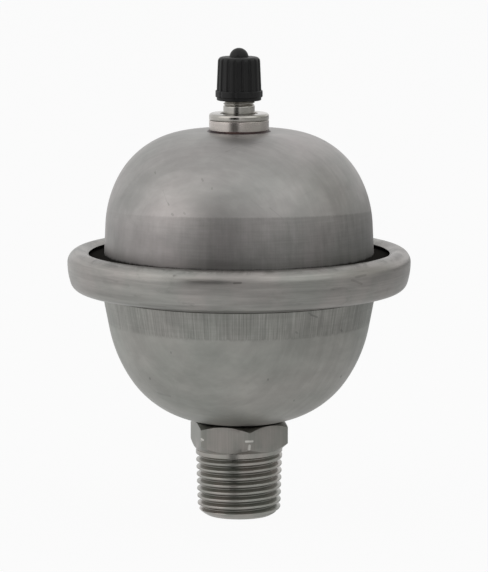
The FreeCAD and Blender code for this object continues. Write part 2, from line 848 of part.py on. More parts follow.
def make_core_barrel(document, s):
    """The core's tube: a groove for its seal outside and a ledge for the spring inside."""
    body = new_body(document, "core_barrel")
    outline = Outline(body, "Section", s.barrel_port_radius, barrel_foot(s))
    outline.line_to(s.barrel_radius, barrel_foot(s))
    outline.line_to(s.barrel_radius, seal_foot(s))
    outline.line_to(s.barrel_radius - s.barrel_groove_depth, seal_foot(s))
    outline.line_to(s.barrel_radius - s.barrel_groove_depth, seal_foot(s) + s.barrel_seal_length)
    outline.line_to(s.barrel_radius, seal_foot(s) + s.barrel_seal_length)
    outline.line_to(s.barrel_radius, barrel_top(s))
    outline.line_to(s.barrel_bore_radius, barrel_top(s))
    outline.line_to(s.barrel_bore_radius, ledge_top(s))
    outline.line_to(s.barrel_port_radius, ledge_top(s))
    revolve(body, outline.close())


def make_barrel_seal(document, s):
    """The tapered ring that seals the barrel on the stem's seat."""
    body = new_body(document, "barrel_seal")
    inner = s.barrel_radius - s.barrel_groove_depth + s.fit_gap
    foot = seal_foot(s) + s.fit_gap
    head = seal_foot(s) + s.barrel_seal_length - s.fit_gap
    slope = (s.core_mouth_radius - s.core_chamber_radius) / (s.core_seat_depth - s.core_mouth_depth)
    outline = Outline(body, "Section", inner, foot)
    outline.line_to(s.core_chamber_radius - s.fit_gap, foot)
    outline.line_to(s.core_chamber_radius - s.fit_gap + (head - foot) * slope, head)
    outline.line_to(inner, head)
    revolve(body, outline.close())


def cup_rim(s):
    return barrel_foot(s) - s.cup_seal_stand


def make_core_pin(document, s):
    """The pin: guided at its top, a collar for the spring and a riveted foot under the cup."""
    body = new_body(document, "core_pin")
    top = stem_top(s) - s.pin_recess
    cup_foot = cup_rim(s) - s.cup_height - s.fit_gap
    collar = collar_foot(s)
    outline = Outline(body, "Section", as_size(0), cup_foot - s.pin_foot_height)
    outline.line_to(s.pin_foot_radius, cup_foot - s.pin_foot_height)
    outline.line_to(s.pin_foot_radius, cup_foot)
    outline.line_to(s.pin_radius, cup_foot)
    outline.line_to(s.pin_radius, collar)
    outline.line_to(s.pin_collar_radius, collar)
    outline.line_to(s.pin_collar_radius, collar + s.pin_collar_thickness)
    outline.line_to(s.pin_radius, collar + s.pin_collar_thickness)
    outline.line_to(s.pin_radius, top)
    outline.line_to(as_size(0), top)
    revolve(body, outline.close())


def make_pin_cup(document, s):
    """The small cup that carries the core's seal."""
    body = new_body(document, "pin_cup")
    bore = s.pin_radius + s.fit_gap
    foot = cup_rim(s) - s.cup_height
    outline = Outline(body, "Section", bore, foot)
    outline.line_to(s.cup_radius, foot)
    outline.line_to(s.cup_radius, cup_rim(s))
    outline.line_to(s.cup_radius - s.cup_wall, cup_rim(s))
    outline.line_to(s.cup_radius - s.cup_wall, foot + s.cup_wall)
    outline.line_to(bore, foot + s.cup_wall)
    revolve(body, outline.close())


def make_cup_seal(document, s):
    """The rubber ring that closes the barrel's lower end."""
    body = new_body(document, "cup_seal")
    bore = s.pin_radius + s.fit_gap
    rim = s.cup_radius - s.cup_wall - s.fit_gap
    foot = cup_rim(s) - s.cup_height + s.cup_wall + s.fit_gap
    face = barrel_foot(s) - s.fit_gap
    outline = Outline(body, "Section", bore, foot)
    outline.line_to(rim, foot)
    outline.line_to(rim, face)
    outline.line_to(bore, face)
    revolve(body, outline.close())


def make_core_spring(document, s):
    """The coil spring between the barrel's ledge and the pin's collar."""
    low = ledge_top(s) + s.spring_wire_radius + s.fit_gap
    rise = s.spring_length - s.spring_wire_radius * 2 - s.fit_gap * 2
    path = document.addObject("Part::Helix", "SpringPath")
    path.setExpression("Radius", s.spring_coil_radius.text)
    path.setExpression("Height", rise.text)
    path.setExpression("Pitch", (rise / s.spring_turns).text)
    path.setExpression("Placement.Base.z", low.text)
    wire = document.addObject("Part::Circle", "SpringWire")
    wire.setExpression("Radius", s.spring_wire_radius.text)
    wire.Placement.Rotation = FreeCAD.Rotation(FreeCAD.Vector(1, 0, 0), QUARTER_TURN)
    wire.setExpression("Placement.Base.x", s.spring_coil_radius.text)
    wire.setExpression("Placement.Base.z", low.text)
    document.recompute()
    spring = document.addObject("Part::Sweep", "core_spring")
    spring.Label = "core_spring"
    spring.Sections = [wire]
    spring.Spine = path
    spring.Solid = True
    spring.Frenet = True


def cap_roof(s):
    """The underside of the cap's roof, just over its seal."""
    return stem_top(s) + s.cap_seal_thickness + s.fit_gap * 2


def cap_top(s):
    return cap_roof(s) + s.cap_roof_thickness


def make_valve_cap(document, s):
    """The moulded cap: foot, grip lip, fluted body and a domed nub, bored to run on the stem."""
    body = new_body(document, "valve_cap")
    bore = s.stem_radius + s.cap_bore_gap
    foot = flange_top(s) + s.cap_flange_gap
    lip = foot + s.cap_foot_height
    top = cap_top(s)
    nub_sphere = (s.nub_radius * s.nub_radius + s.nub_height * s.nub_height) / (s.nub_height * 2)
    outline = Outline(body, "Section", bore, foot)
    outline.line_to(s.cap_foot_radius - s.cap_edge, foot)
    outline.line_to(s.cap_foot_radius, foot + s.cap_edge)
    outline.line_to(s.cap_foot_radius, lip)
    outline.line_to(s.cap_lip_radius, lip + s.cap_edge)
    outline.line_to(s.cap_lip_radius, lip + s.cap_lip_height - s.cap_edge)
    outline.line_to(s.cap_body_radius, lip + s.cap_lip_height)
    outline.line_to(s.cap_top_radius, top - s.cap_top_round)
    outline.arc_to(s.cap_top_radius - s.cap_top_round, top, s.cap_top_round, 1)
    outline.line_to(s.nub_radius, top)
    outline.arc_to(as_size(0), top + s.nub_height, nub_sphere, 1)
    outline.line_to(as_size(0), cap_roof(s))
    outline.line_to(bore, cap_roof(s))
    revolve(body, outline.close(), "Moulding")
    flute_cap(body, s, lip + s.cap_lip_height)


def flute_cap(body, s, foot):
    """Round grooves up the cap's grip, leaning in with its taper."""
    rise = cap_top(s) - foot
    lean = (s.cap_body_radius - s.cap_top_radius) / (rise - s.cap_top_round)
    flute = body.newObject("PartDesign::SubtractiveCylinder", "Flute")
    flute.setExpression("Radius", s.flute_radius.text)
    flute.setExpression("Height", (rise * FLUTE_OVERRUN).text)
    flute.setExpression("Placement.Base.x", (s.cap_body_radius + s.flute_offset).text)
    flute.setExpression("Placement.Base.z", foot.text)
    flute.Placement.Rotation = FreeCAD.Rotation(FreeCAD.Vector(0, 1, 0), 0)
    flute.setExpression("Placement.Rotation.Angle", f"atan({lean.text}) * -1")
    body.Tip = flute
    ring = body.newObject("PartDesign::PolarPattern", "Flutes")
    ring.Originals = [flute]
    ring.Axis = (axis_of(body, "Z_Axis"), [""])
    ring.Angle = FULL_TURN
    ring.setExpression("Occurrences", s.flute_count.text)
    body.Tip = ring
    body.setExpression("Placement.Rotation.Angle", s.cap_clocking.text)


def make_cap_seal(document, s):
    """The rubber washer in the cap's roof; its hole keeps clear of the core's pin."""
    body = new_body(document, "cap_seal")
    foot = stem_top(s) + s.fit_gap
    rim = s.stem_radius + s.cap_bore_gap - s.fit_gap
    outline = Outline(body, "Section", s.cap_seal_bore_radius, foot)
    outline.line_to(rim, foot)
    outline.line_to(rim, foot + s.cap_seal_thickness)
    outline.line_to(s.cap_seal_bore_radius, foot + s.cap_seal_thickness)
    revolve(body, outline.close())


def axis_of(body, role):
    return [line for line in body.Origin.OriginFeatures if line.Role == role][0]


PIECES = (
    make_lower_shell,
    make_upper_shell,
    make_clamp_ring,
    make_diaphragm,
    make_water_connector,
    make_valve_boss,
    make_boss_weld,
    make_stem_seal,
    make_valve_stem,
    make_core_plug,
    make_core_barrel,
    make_barrel_seal,
    make_core_pin,
    make_pin_cup,
    make_cup_seal,
    make_core_spring,
    make_valve_cap,
    make_cap_seal,
)


def check_and_write(document):
    """Every object has to be up to date and every piece sound before anything is written."""
    document.recompute()
    bad = [item.Name for item in document.Objects if {"Invalid", "Error"} & set(item.State)]
    if bad:
        raise RuntimeError(f"failed objects: {bad}")
    names = [make.__name__.replace("make_", "") for make in PIECES]
    pieces = {name: document.getObjectsByLabel(name)[0] for name in names}
    for name, piece in pieces.items():
        if piece.Shape.isNull() or not piece.Shape.isValid():
            raise RuntimeError(f"unsound piece: {name}")
    os.makedirs("parts", exist_ok=True)
    for name, piece in pieces.items():
        piece.Shape.exportStep(f"parts/{name}.step")
        box = piece.Shape.BoundBox
        print(f"{name}: {len(piece.Shape.Solids)} solid, {piece.Shape.Volume:.2f} mm3,",
              f"z {box.ZMin:.2f} to {box.ZMax:.2f}, across {box.XLength:.2f}")


def main():
    document = FreeCAD.newDocument("expansion_tank")
    sheet = Sheet(document)
    for make in PIECES:
        make(document, sheet)
    check_and_write(document)


main()
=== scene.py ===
import math

import bmesh
import bpy
import mathutils
import numpy as np
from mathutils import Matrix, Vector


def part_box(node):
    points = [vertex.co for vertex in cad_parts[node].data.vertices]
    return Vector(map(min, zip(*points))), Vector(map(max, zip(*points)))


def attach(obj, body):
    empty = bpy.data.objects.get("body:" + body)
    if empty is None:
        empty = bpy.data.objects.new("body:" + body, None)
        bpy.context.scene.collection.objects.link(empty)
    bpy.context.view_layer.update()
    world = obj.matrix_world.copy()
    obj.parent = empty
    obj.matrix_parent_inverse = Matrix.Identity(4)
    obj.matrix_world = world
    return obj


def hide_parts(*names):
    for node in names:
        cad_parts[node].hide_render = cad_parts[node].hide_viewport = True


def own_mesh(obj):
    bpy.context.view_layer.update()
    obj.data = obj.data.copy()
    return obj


# The looks of a small stainless expansion tank. Section points are millimetres in the frame's own place:
# distance from the axis, then height. Meshes are turned from them and scaled to metres. Materials take metres,
# and what a mark's depth scales is how strongly it shows.

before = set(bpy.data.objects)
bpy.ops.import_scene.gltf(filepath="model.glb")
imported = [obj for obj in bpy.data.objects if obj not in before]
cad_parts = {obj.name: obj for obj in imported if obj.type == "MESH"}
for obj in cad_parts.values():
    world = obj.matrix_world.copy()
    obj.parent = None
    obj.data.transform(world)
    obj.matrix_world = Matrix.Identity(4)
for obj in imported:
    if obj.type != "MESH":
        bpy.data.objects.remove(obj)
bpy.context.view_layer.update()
MM = 0.001
TURN = 2 * math.pi

# Sizes repeated from the part's source
SHEET = 1.2
BOWL_BOTTOM = 23.47
DOME_TOP = 95.25
WAIST = 63.2
RING = dict(sheet=1.3, radius=42.24, wall=16.5, wall_angle=17.3, corner=2.9, floor=11.0, roll=3.0, lip=138.3)
BOWL = dict(flat=6.67, corner=24.16, side=34.75, blend=33.83, draft=10.86, bend=1.0, slope=11.0)
DOME = dict(flat=11.14, corner=20.98, side=27.29, blend=27.93, draft=2.68, bend=0.8, slope=0.0)
SEAT_GAP = 0.04
NECK_GAP = 0.12
BOWL_HOLE = 8.62
DOME_HOLE = 5.62
ARC_POINTS = (42, 34, 12)
WALL_POINTS = 14
FLANGE_POINTS = 4
SHELL_COLUMNS = 384
RING_COLUMNS = 480
RING_FACE = slice(10, 82)

# The connector: its bore, its tapered thread with a rounded bevel at the end, and its hexagon
BORE = 6.5
THREAD = dict(radius=10.22, pitch=1.8143, depth=1.162, start=-0.96, turns=8.55, fade=1.25, taper=0.03125)
BEVEL = dict(foot=8.1, swell=2.19, height=2.2, power=0.92)
HEX_LOW, HEX_HIGH, HEX_FLAT, HEX_WORN = 16.8, 23.45, 11.0, 12.66
NECK = 8.6
CONNECTOR_TOP = 24.67

# The valve: the boss, the stem with its fine thread, and the cap
BOSS = dict(radius=7.34, height=2.85, bevel=0.16, stub=5.6, stub_foot=94.05, bore=4.87, recess=6.41, sink=1.28)
STEM = dict(foot=94.2, shank=4.85, flange=7.34, flange_height=1.65, rim=0.65, collar=4.625, thread=3.87,
            pitch=0.79375, depth=0.42, start=100.42, run_out=101.5, waist=101.75, nose=3.425, top=110.0,
            mouth=2.6, mouth_foot=105.4, throat=2.05, throat_top=103.9, throat_foot=97.6, hole=1.5)
CAP = dict(foot=102.9, lip=103.7, grip=105.3, top=113.5, roof=111.04, bore=3.935, skirt=5.45, collar=5.8,
           grip_foot=5.5, grip_top=5.2, edge=1.1, nub=2.35, nub_rise=2.2, flutes=18, groove=0.45)
FAR = 99.0


def sin(degrees):
    return math.sin(math.radians(degrees))


def cos(degrees):
    return math.cos(math.radians(degrees))


def tan(degrees):
    return math.tan(math.radians(degrees))


# Sections

def arc(centre, radius, first, last, count):
    """Points along an arc; angles in degrees from outward, anticlockwise."""
    turn = np.radians(np.linspace(first, last, count))
    return np.column_stack((centre[0] + radius * np.cos(turn), centre[1] + radius * np.sin(turn)))


def line(first, last, count):
    share = np.linspace(0, 1, count)[:, None]
    return (1 - share) * np.array(first) + share * np.array(last)


def chain(*runs):
    """Joins runs of points and drops points that repeat."""
    points = np.vstack(runs)
    keep = np.ones(len(points), bool)
    keep[1:] = np.linalg.norm(np.diff(points, axis=0), axis=1) > 1e-4
    return points[keep]


def soften(corners, pieces):
    """A closed section from corners (distance, height, edge radius), each edge rounded by its radius."""
    most = 0.45
    runs = []
    count = len(corners)
    for index in range(count):
        before = np.array(corners[index - 1][:2], float)
        here = np.array(corners[index][:2], float)
        after = np.array(corners[(index + 1) % count][:2], float)
        radius = corners[index][2]
        if radius <= 0:
            runs.append(here[None, :])
            continue
        back_length, on_length = np.linalg.norm(before - here), np.linalg.norm(after - here)
        back, on = (before - here) / back_length, (after - here) / on_length
        half = math.acos(float(np.clip(back @ on, -1, 1))) / 2
        reach = min(radius / math.tan(half), most * back_length, most * on_length)
        share = np.linspace(0, 1, pieces)[:, None]
        start, end = here + back * reach, here + on * reach
        runs.append((1 - share) ** 2 * start + 2 * share * (1 - share) * here + share ** 2 * end)
    return np.vstack(runs)


def subdivide(points, step):
    """The same closed section with points no further apart than step."""
    ends = np.vstack((points, points[:1]))
    out = []
    for first, last in zip(ends[:-1], ends[1:]):
        count = max(1, math.ceil(float(np.linalg.norm(last - first)) / step))
        out.append(line(first, last, count + 1)[:-1])
    return np.vstack(out)


class Wall:
    """A drawn sheet's corners, as the part's source has them; heights run from the closed end."""

    def __init__(self, form, lying, edge):
        self.form = form
        self.edge = edge
        f = form
        self.side_centre = (f["flat"] + (f["corner"] - f["side"]) * cos(f["blend"]),
                            f["corner"] + (f["side"] - f["corner"]) * sin(f["blend"]))
        foot = (self.side_centre[0] + f["side"] * cos(f["draft"]),
                self.side_centre[1] - f["side"] * sin(f["draft"]))
        wall_reach = f["bend"] + cos(f["draft"]) * foot[0] - sin(f["draft"]) * foot[1]
        flange_reach = f["bend"] + sin(f["slope"]) * lying[0] - cos(f["slope"]) * lying[1]
        spread = cos(f["draft"] + f["slope"])
        self.bend_centre = ((wall_reach * cos(f["slope"]) - sin(f["draft"]) * flange_reach) / spread,
                            (sin(f["slope"]) * wall_reach - cos(f["draft"]) * flange_reach) / spread)

    def face(self, inset, hole):
        """One face of the sheet, from the hole's edge out to the flange's edge."""
        f = self.form
        corner = arc((f["flat"], f["corner"]), f["corner"] - inset, -90, -f["blend"], ARC_POINTS[0])
        corner = corner[corner[:, 0] > hole]
        start = np.interp(hole, [p[0] for p in corner], [p[1] for p in corner]) if hole > f["flat"] else inset
        side = arc(self.side_centre, f["side"] - inset, -f["blend"], -f["draft"], ARC_POINTS[1])
        bend = arc(self.bend_centre, f["bend"] + inset, 180 - f["draft"], 90 + f["slope"], ARC_POINTS[2])
        edge = (self.edge, bend[-1][1] + (self.edge - bend[-1][0]) * tan(f["slope"]))
        return chain(np.array([[hole, start]]), corner, side, line(side[-1], bend[0], WALL_POINTS), bend,
                     line(bend[-1], edge, FLANGE_POINTS))

    def sheet(self, hole, place):
        """The sheet's closed section, and how many of its points lie on the outer face."""
        outer = self.face(0.0, hole)
        inner = self.face(SHEET, hole)[::-1]
        section = chain(outer, inner)
        section[:, 1] = place(section[:, 1])
        return section, len(outer)


def ring_corners():
    """The centres of the ring's wall, its corner and its roll."""
    r = RING
    wall_centre = (r["radius"] - r["wall"], WAIST)
    corner_centre = (wall_centre[0] + (r["wall"] - r["corner"]) * cos(r["wall_angle"]),
                     WAIST - (r["wall"] - r["corner"]) * sin(r["wall_angle"]))
    return wall_centre, corner_centre, (r["radius"] - r["roll"], WAIST)


def ring_floor(radius, inset):
    """Two points of the ring's floor: at a distance from the axis, and where the corner's bend starts."""
    corner = ring_corners()[1]
    reach = RING["corner"] - inset
    end = (corner[0] + reach * sin(RING["floor"]), corner[1] - reach * cos(RING["floor"]))
    return (radius, end[1] - (end[0] - radius) * tan(RING["floor"])), end


def ring_lip(inset):
    """One corner of the lip's sheared edge."""
    roll = ring_corners()[2]
    reach = RING["roll"] - inset
    return (roll[0] + reach * cos(RING["lip"]), roll[1] + reach * sin(RING["lip"]))


FLANGE_EDGE = ring_floor(0, RING["sheet"])[1]
BOWL_WALL = Wall(BOWL, (FLANGE_EDGE[0], FLANGE_EDGE[1] - BOWL_BOTTOM + SEAT_GAP), FLANGE_EDGE[0])
DOME_WALL = Wall(DOME, (FLANGE_EDGE[0], DOME_TOP - ring_lip(RING["sheet"])[1] + SEAT_GAP), FLANGE_EDGE[0])


def ring_section(lip_angle, edge_shift):
    """The ring's section with its own lip angle, so that the sheared lip can wander round the tank."""
    r = RING
    wall_centre, corner_centre, roll_centre = ring_corners()
    bend_start = BOWL_WALL.bend_centre[0] - BOWL["bend"] * cos(BOWL["draft"])
    low = ring_floor(bend_start + NECK_GAP + edge_shift, 0.0)
    high = ring_floor(BOWL_WALL.bend_centre[0] + edge_shift, r["sheet"])
    outer = (
        line(low[0], low[1], 10),
        arc(corner_centre, r["corner"], -90 + r["floor"], -r["wall_angle"], 16)[1:],
        arc(wall_centre, r["wall"], -r["wall_angle"], 0, 22)[1:],
        arc(roll_centre, r["roll"], 0, lip_angle, 34)[1:],
    )
    roll_inside = arc(roll_centre, r["roll"] - r["sheet"], lip_angle, 0, 18)
    tip = line(outer[-1][-1], roll_inside[0], 9)[1:-1]
    inner = (
        roll_inside,
        arc(wall_centre, r["wall"] - r["sheet"], 0, -r["wall_angle"], 8)[1:],
        arc(corner_centre, r["corner"] - r["sheet"], -r["wall_angle"], -90 + r["floor"], 8)[1:],
        line(high[1], high[0], 4)[1:],
    )
    return np.vstack(outer + (tip,) + inner)


# Meshes

def wander(angle, seed, waves, share=0.6):
    """A smooth closed curve round the axis, about -1 to 1, from a few seeded waves."""
    rng = np.random.default_rng(seed)
    total = np.zeros_like(angle)
    weight = 0.0
    for wave in waves:
        size = wave ** -share
        total += size * np.sin(wave * angle + rng.uniform(0, TURN))
        weight += size
    return total / weight


def turned(name, radius, height, angle, weld=False):
    """A mesh from tables of radius and height: one row per section point, one column per angle. The section is
    closed. With weld, the last column lies on the first and the two are joined later."""
    rows, columns = radius.shape
    points = np.stack((radius * np.cos(angle), radius * np.sin(angle), height), axis=-1).reshape(-1, 3) * MM
    across = columns if not weld else columns - 1
    row, column = np.meshgrid(np.arange(rows), np.arange(across), indexing="ij")
    next_row, next_column = (row + 1) % rows, (column + 1) % columns
    faces = np.stack((row * columns + column, row * columns + next_column,
                      next_row * columns + next_column, next_row * columns + column), axis=-1).reshape(-1, 4)
    return linked(name, points.tolist(), faces.tolist())


def linked(name, points, faces):
    """A mesh object in the scene."""
    mesh = bpy.data.meshes.new(name)
    mesh.from_pydata(points, [], faces)
    return in_scene(name, mesh)


def in_scene(name, data):
    thing = bpy.data.objects.new(name, data)
    bpy.context.scene.collection.objects.link(thing)
    return thing


def table(rows, columns):
    """Tables of radius and height from rows of two numbers, or of two arrays round the axis."""
    return [np.vstack([np.broadcast_to(row[side], columns) for row in rows]) for side in (0, 1)]


def finish_mesh(piece, sharp=32.0):
    """Welds, drops slivers, turns the faces outward and shades all but the sharp edges smooth."""
    work = bmesh.new()
    work.from_mesh(piece.data)
    bmesh.ops.remove_doubles(work, verts=work.verts, dist=2e-7)
    bmesh.ops.dissolve_degenerate(work, edges=work.edges, dist=1e-7)
    bmesh.ops.recalc_face_normals(work, faces=work.faces)
    work.to_mesh(piece.data)
    work.free()
    piece.data.shade_smooth()
    piece.data.set_sharp_from_angle(angle=math.radians(sharp))
    return piece


def round_angles(columns):
    return np.linspace(0, TURN, columns, endpoint=False)


def revolve(name, section, columns):
    radius = np.repeat(section[:, :1], columns, axis=1)
    height = np.repeat(section[:, 1:], columns, axis=1)
    return finish_mesh(turned(name, radius, height, round_angles(columns)))


def dress(piece, body, node, material):
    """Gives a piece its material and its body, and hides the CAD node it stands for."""
    piece.data.materials.append(material)
    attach(piece, body)
    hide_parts(node)


# Camera: the photograph's place and lens, measured from the object. Lengths are metres, the pitch is radians
# and the focal length is pixels of the photograph.

CAMERA_SIDE = 17.7
CAMERA_REACH = 0.930
CAMERA_HEIGHT = 0.190
CAMERA_RIGHT = 0.00122
CAMERA_PITCH = 0.1421
FOCAL = 3814.0
PHOTO = (488, 572)
SIGHT = np.arange(CAMERA_REACH - 0.07, CAMERA_REACH + 0.07, 0.00005)
RIGHT = np.array([cos(CAMERA_SIDE), sin(CAMERA_SIDE), 0.0])
AHEAD = np.array([-sin(CAMERA_SIDE), cos(CAMERA_SIDE), 0.0])
EYE = -AHEAD * CAMERA_REACH + RIGHT * CAMERA_RIGHT + np.array([0, 0, CAMERA_HEIGHT])


def make_camera():
    data = bpy.data.cameras.new("camera")
    data.sensor_width = 36.0
    data.lens = FOCAL / max(PHOTO) * data.sensor_width
    data.clip_start, data.clip_end = 0.05, 60.0
    camera = in_scene("camera", data)
    camera.location = EYE.tolist()
    camera.rotation_euler = (math.pi / 2 - CAMERA_PITCH, 0, math.radians(CAMERA_SIDE))
    bpy.context.scene.camera = camera


def spot(x, y, section, flats=False):
    """The point where the line of sight through a pixel first meets a turned or six-sided face, in metres."""
    level = math.cos(CAMERA_PITCH) * AHEAD + np.array([0, 0, -math.sin(CAMERA_PITCH)])
    up = math.sin(CAMERA_PITCH) * AHEAD + np.array([0, 0, math.cos(CAMERA_PITCH)])
    ray = level + RIGHT * (x - PHOTO[0] / 2) / FOCAL - up * (y - PHOTO[1] / 2) / FOCAL
    ray /= np.linalg.norm(ray)
    order = np.argsort(section[:, 1])
    points = EYE + SIGHT[:, None] * ray
    wall = np.interp(points[:, 2] / MM, section[order, 1], section[order, 0], left=0, right=0)
    if flats:
        off_flat = np.degrees(np.arctan2(points[:, 1], points[:, 0])) % 60 - 30
        wall = wall / np.cos(np.radians(off_flat))
    inside = np.hypot(points[:, 0], points[:, 1]) / MM <= wall
    return points[int(np.argmax(inside))]


# Shader helpers

class Nodes:
    """A short way to write a material's nodes."""

    def __init__(self, name):
        self.material = bpy.data.materials.new(name)
        self.material.use_nodes = True
        self.tree = self.material.node_tree
        self.tree.nodes.clear()
        self.place = self.tree.nodes.new("ShaderNodeTexCoord").outputs["Object"]

    def add(self, kind, values=(), **settings):
        node = self.tree.nodes.new(kind)
        for key, value in settings.items():
            setattr(node, key, value)
        for key, value in dict(values).items():
            self.feed(node.inputs[key], value)
        return node

    def feed(self, socket, value):
        if isinstance(value, bpy.types.NodeSocket):
            self.tree.links.new(value, socket)
        elif isinstance(value, (tuple, list)) and len(value) == 3 and socket.type == "RGBA":
            socket.default_value = (*value, 1.0)
        else:
            socket.default_value = value

    def math(self, operation, *values):
        node = self.tree.nodes.new("ShaderNodeMath")
        node.operation = operation
        for socket, value in zip(node.inputs, values):
            self.feed(socket, value)
        return node.outputs[0]

    def times(self, first, second):
        return self.math("MULTIPLY", first, second)

    def plus(self, first, second):
        return self.math("ADD", first, second)

    def minus(self, first, second):
        return self.math("SUBTRACT", first, second)

    def vector(self, operation, *values, output=0):
        return self.add("ShaderNodeVectorMath", enumerate(values), operation=operation).outputs[output]

    def toward(self, direction):
        """How far the place lies in a direction."""
        return self.vector("DOT_PRODUCT", self.place, tuple(direction), output=1)

    def length(self, first, second):
        return self.math("SQRT", self.plus(self.times(first, first), self.times(second, second)))

    def scaled(self, x, y, z, shift=(0, 0, 0), turn=(0, 0, 0), source=None):
        values = {"Vector": source or self.place, "Scale": (x, y, z), "Location": shift, "Rotation": turn}
        return self.add("ShaderNodeMapping", values).outputs[0]

    def distance(self):
        """The distance from the axis."""
        x, y = self.xyz()[:2]
        return self.length(x, y)

    def upright(self, radius):
        """The place moved onto a straight cylinder, so that lines along it stay upright on a curved wall."""
        x, y, z = self.xyz()
        pull = self.math("DIVIDE", radius, self.distance())
        values = {0: self.times(x, pull), 1: self.times(y, pull), 2: z}
        return self.add("ShaderNodeCombineXYZ", values).outputs[0]

    def noise(self, vector, detail=3.0, rough=0.5, distortion=0.0):
        values = {"Vector": vector, "Scale": 1.0, "Detail": detail, "Roughness": rough}
        values["Distortion"] = distortion
        return self.add("ShaderNodeTexNoise", values).outputs["Fac"]

    def band(self, value, low, high, to_low=0.0, to_high=1.0):
        """A smooth step from to_low at low to to_high at high."""
        values = {"Value": value, "From Min": low, "From Max": high, "To Min": to_low, "To Max": to_high}
        return self.add("ShaderNodeMapRange", values, interpolation_type="SMOOTHSTEP").outputs[0]

    def mix(self, share, first, second):
        node = self.tree.nodes.new("ShaderNodeMix")
        node.data_type = "RGBA"
        node.clamp_factor = True
        self.feed(node.inputs["Factor"], share)
        self.feed(node.inputs[6], first)
        self.feed(node.inputs[7], second)
        return node.outputs[2]

    def dim(self, colour, factor):
        """The colour, or another vector, times a number."""
        node = self.tree.nodes.new("ShaderNodeVectorMath")
        node.operation = "SCALE"
        self.feed(node.inputs[0], colour)
        self.feed(node.inputs["Scale"], factor)
        return node.outputs[0]

    def xyz(self):
        return self.add("ShaderNodeSeparateXYZ", {"Vector": self.place}).outputs

    def near_line(self, first, last, width):
        """1 on the short line between two points, and 0 at width from it."""
        first, last = np.array(first), np.array(last)
        run = last - first
        squared = float(run @ run) or 1e-12
        away = self.vector("SUBTRACT", self.place, tuple(first))
        along = self.vector("DOT_PRODUCT", away, tuple(run / squared), output=1)
        share = self.math("MAXIMUM", self.math("MINIMUM", along, 1.0), 0.0)
        gap = self.vector("DISTANCE", away, self.dim(tuple(run), share), output=1)
        return self.band(gap, width / 2, width, 1.0, 0.0)

    def marked(self, marks, *others):
        """The strongest of the marks at a place, each two ends, a width in millimetres and a depth."""
        layers = list(others)
        layers += [self.times(self.near_line(a, b, width * MM), depth) for a, b, width, depth in marks]
        strongest = layers[0]
        for layer in layers[1:]:
            strongest = self.math("MAXIMUM", strongest, layer)
        return strongest

    def bumped(self, *layers):
        """Stacks bump layers, each a height, its strength and its depth in millimetres."""
        normal = None
        for height, strength, depth in layers:
            values = {"Height": height, "Strength": strength, "Distance": depth * MM}
            if normal is not None:
                values["Normal"] = normal
            normal = self.add("ShaderNodeBump", values).outputs[0]
        return normal

    def output(self, shader):
        target = self.add("ShaderNodeOutputMaterial")
        self.tree.links.new(shader.outputs[0], target.inputs["Surface"])
        return self.material

    def surface(self, colour, rough, metallic=1.0, normal=None, **sockets):
        values = {"Base Color": colour, "Roughness": rough, "Metallic": metallic}
        if normal is not None:
            values["Normal"] = normal
        shader = self.add("ShaderNodeBsdfPrincipled", values)
        for key, value in sockets.items():
            self.feed(shader.inputs[key.replace("_", " ")], value)
        return self.output(shader)


# Colours, each a light and a dark tone that clouds mix, and the other shades
DOME_GREYS = (0.345, 0.324, 0.318), (0.303, 0.301, 0.290)
BOWL_GREYS = (0.319, 0.312, 0.293), (0.284, 0.293, 0.271)
RING_GREYS = (0.312, 0.295, 0.281), (0.266, 0.266, 0.250)
CONNECTOR_GREYS = (0.285, 0.268, 0.250), (0.240, 0.243, 0.223)
BOSS_GREYS = (0.520, 0.464, 0.440), (0.460, 0.432, 0.404)
STEM_GREYS = (0.415, 0.395, 0.368), (0.375, 0.365, 0.338)
WELD_TINTS = (0.052, 0.033, 0.031), (0.030, 0.022, 0.024)
CAP_BLACKS = (0.008, 0.008, 0.0085), (0.012, 0.012, 0.012)
SPRING_GREYS = (0.50, 0.50, 0.50), (0.40, 0.40, 0.40)
# Painted shade for the fold between the ring and the bowl
SEAM_SHADE_BROWNS = (0.030, 0.028, 0.025), (0.075, 0.070, 0.062)
PIT = (0.150, 0.148, 0.142)
SCUFF = (0.10, 0.095, 0.09)
# Painted shade for the dome's foot, down in the ring's gap
GAP_SHADE_COLOUR = (0.034, 0.032, 0.029)
# Painted glint for the connector's nicks
NICK_GLINT = (0.78, 0.77, 0.73)
SHELL_RADIUS = 33.0


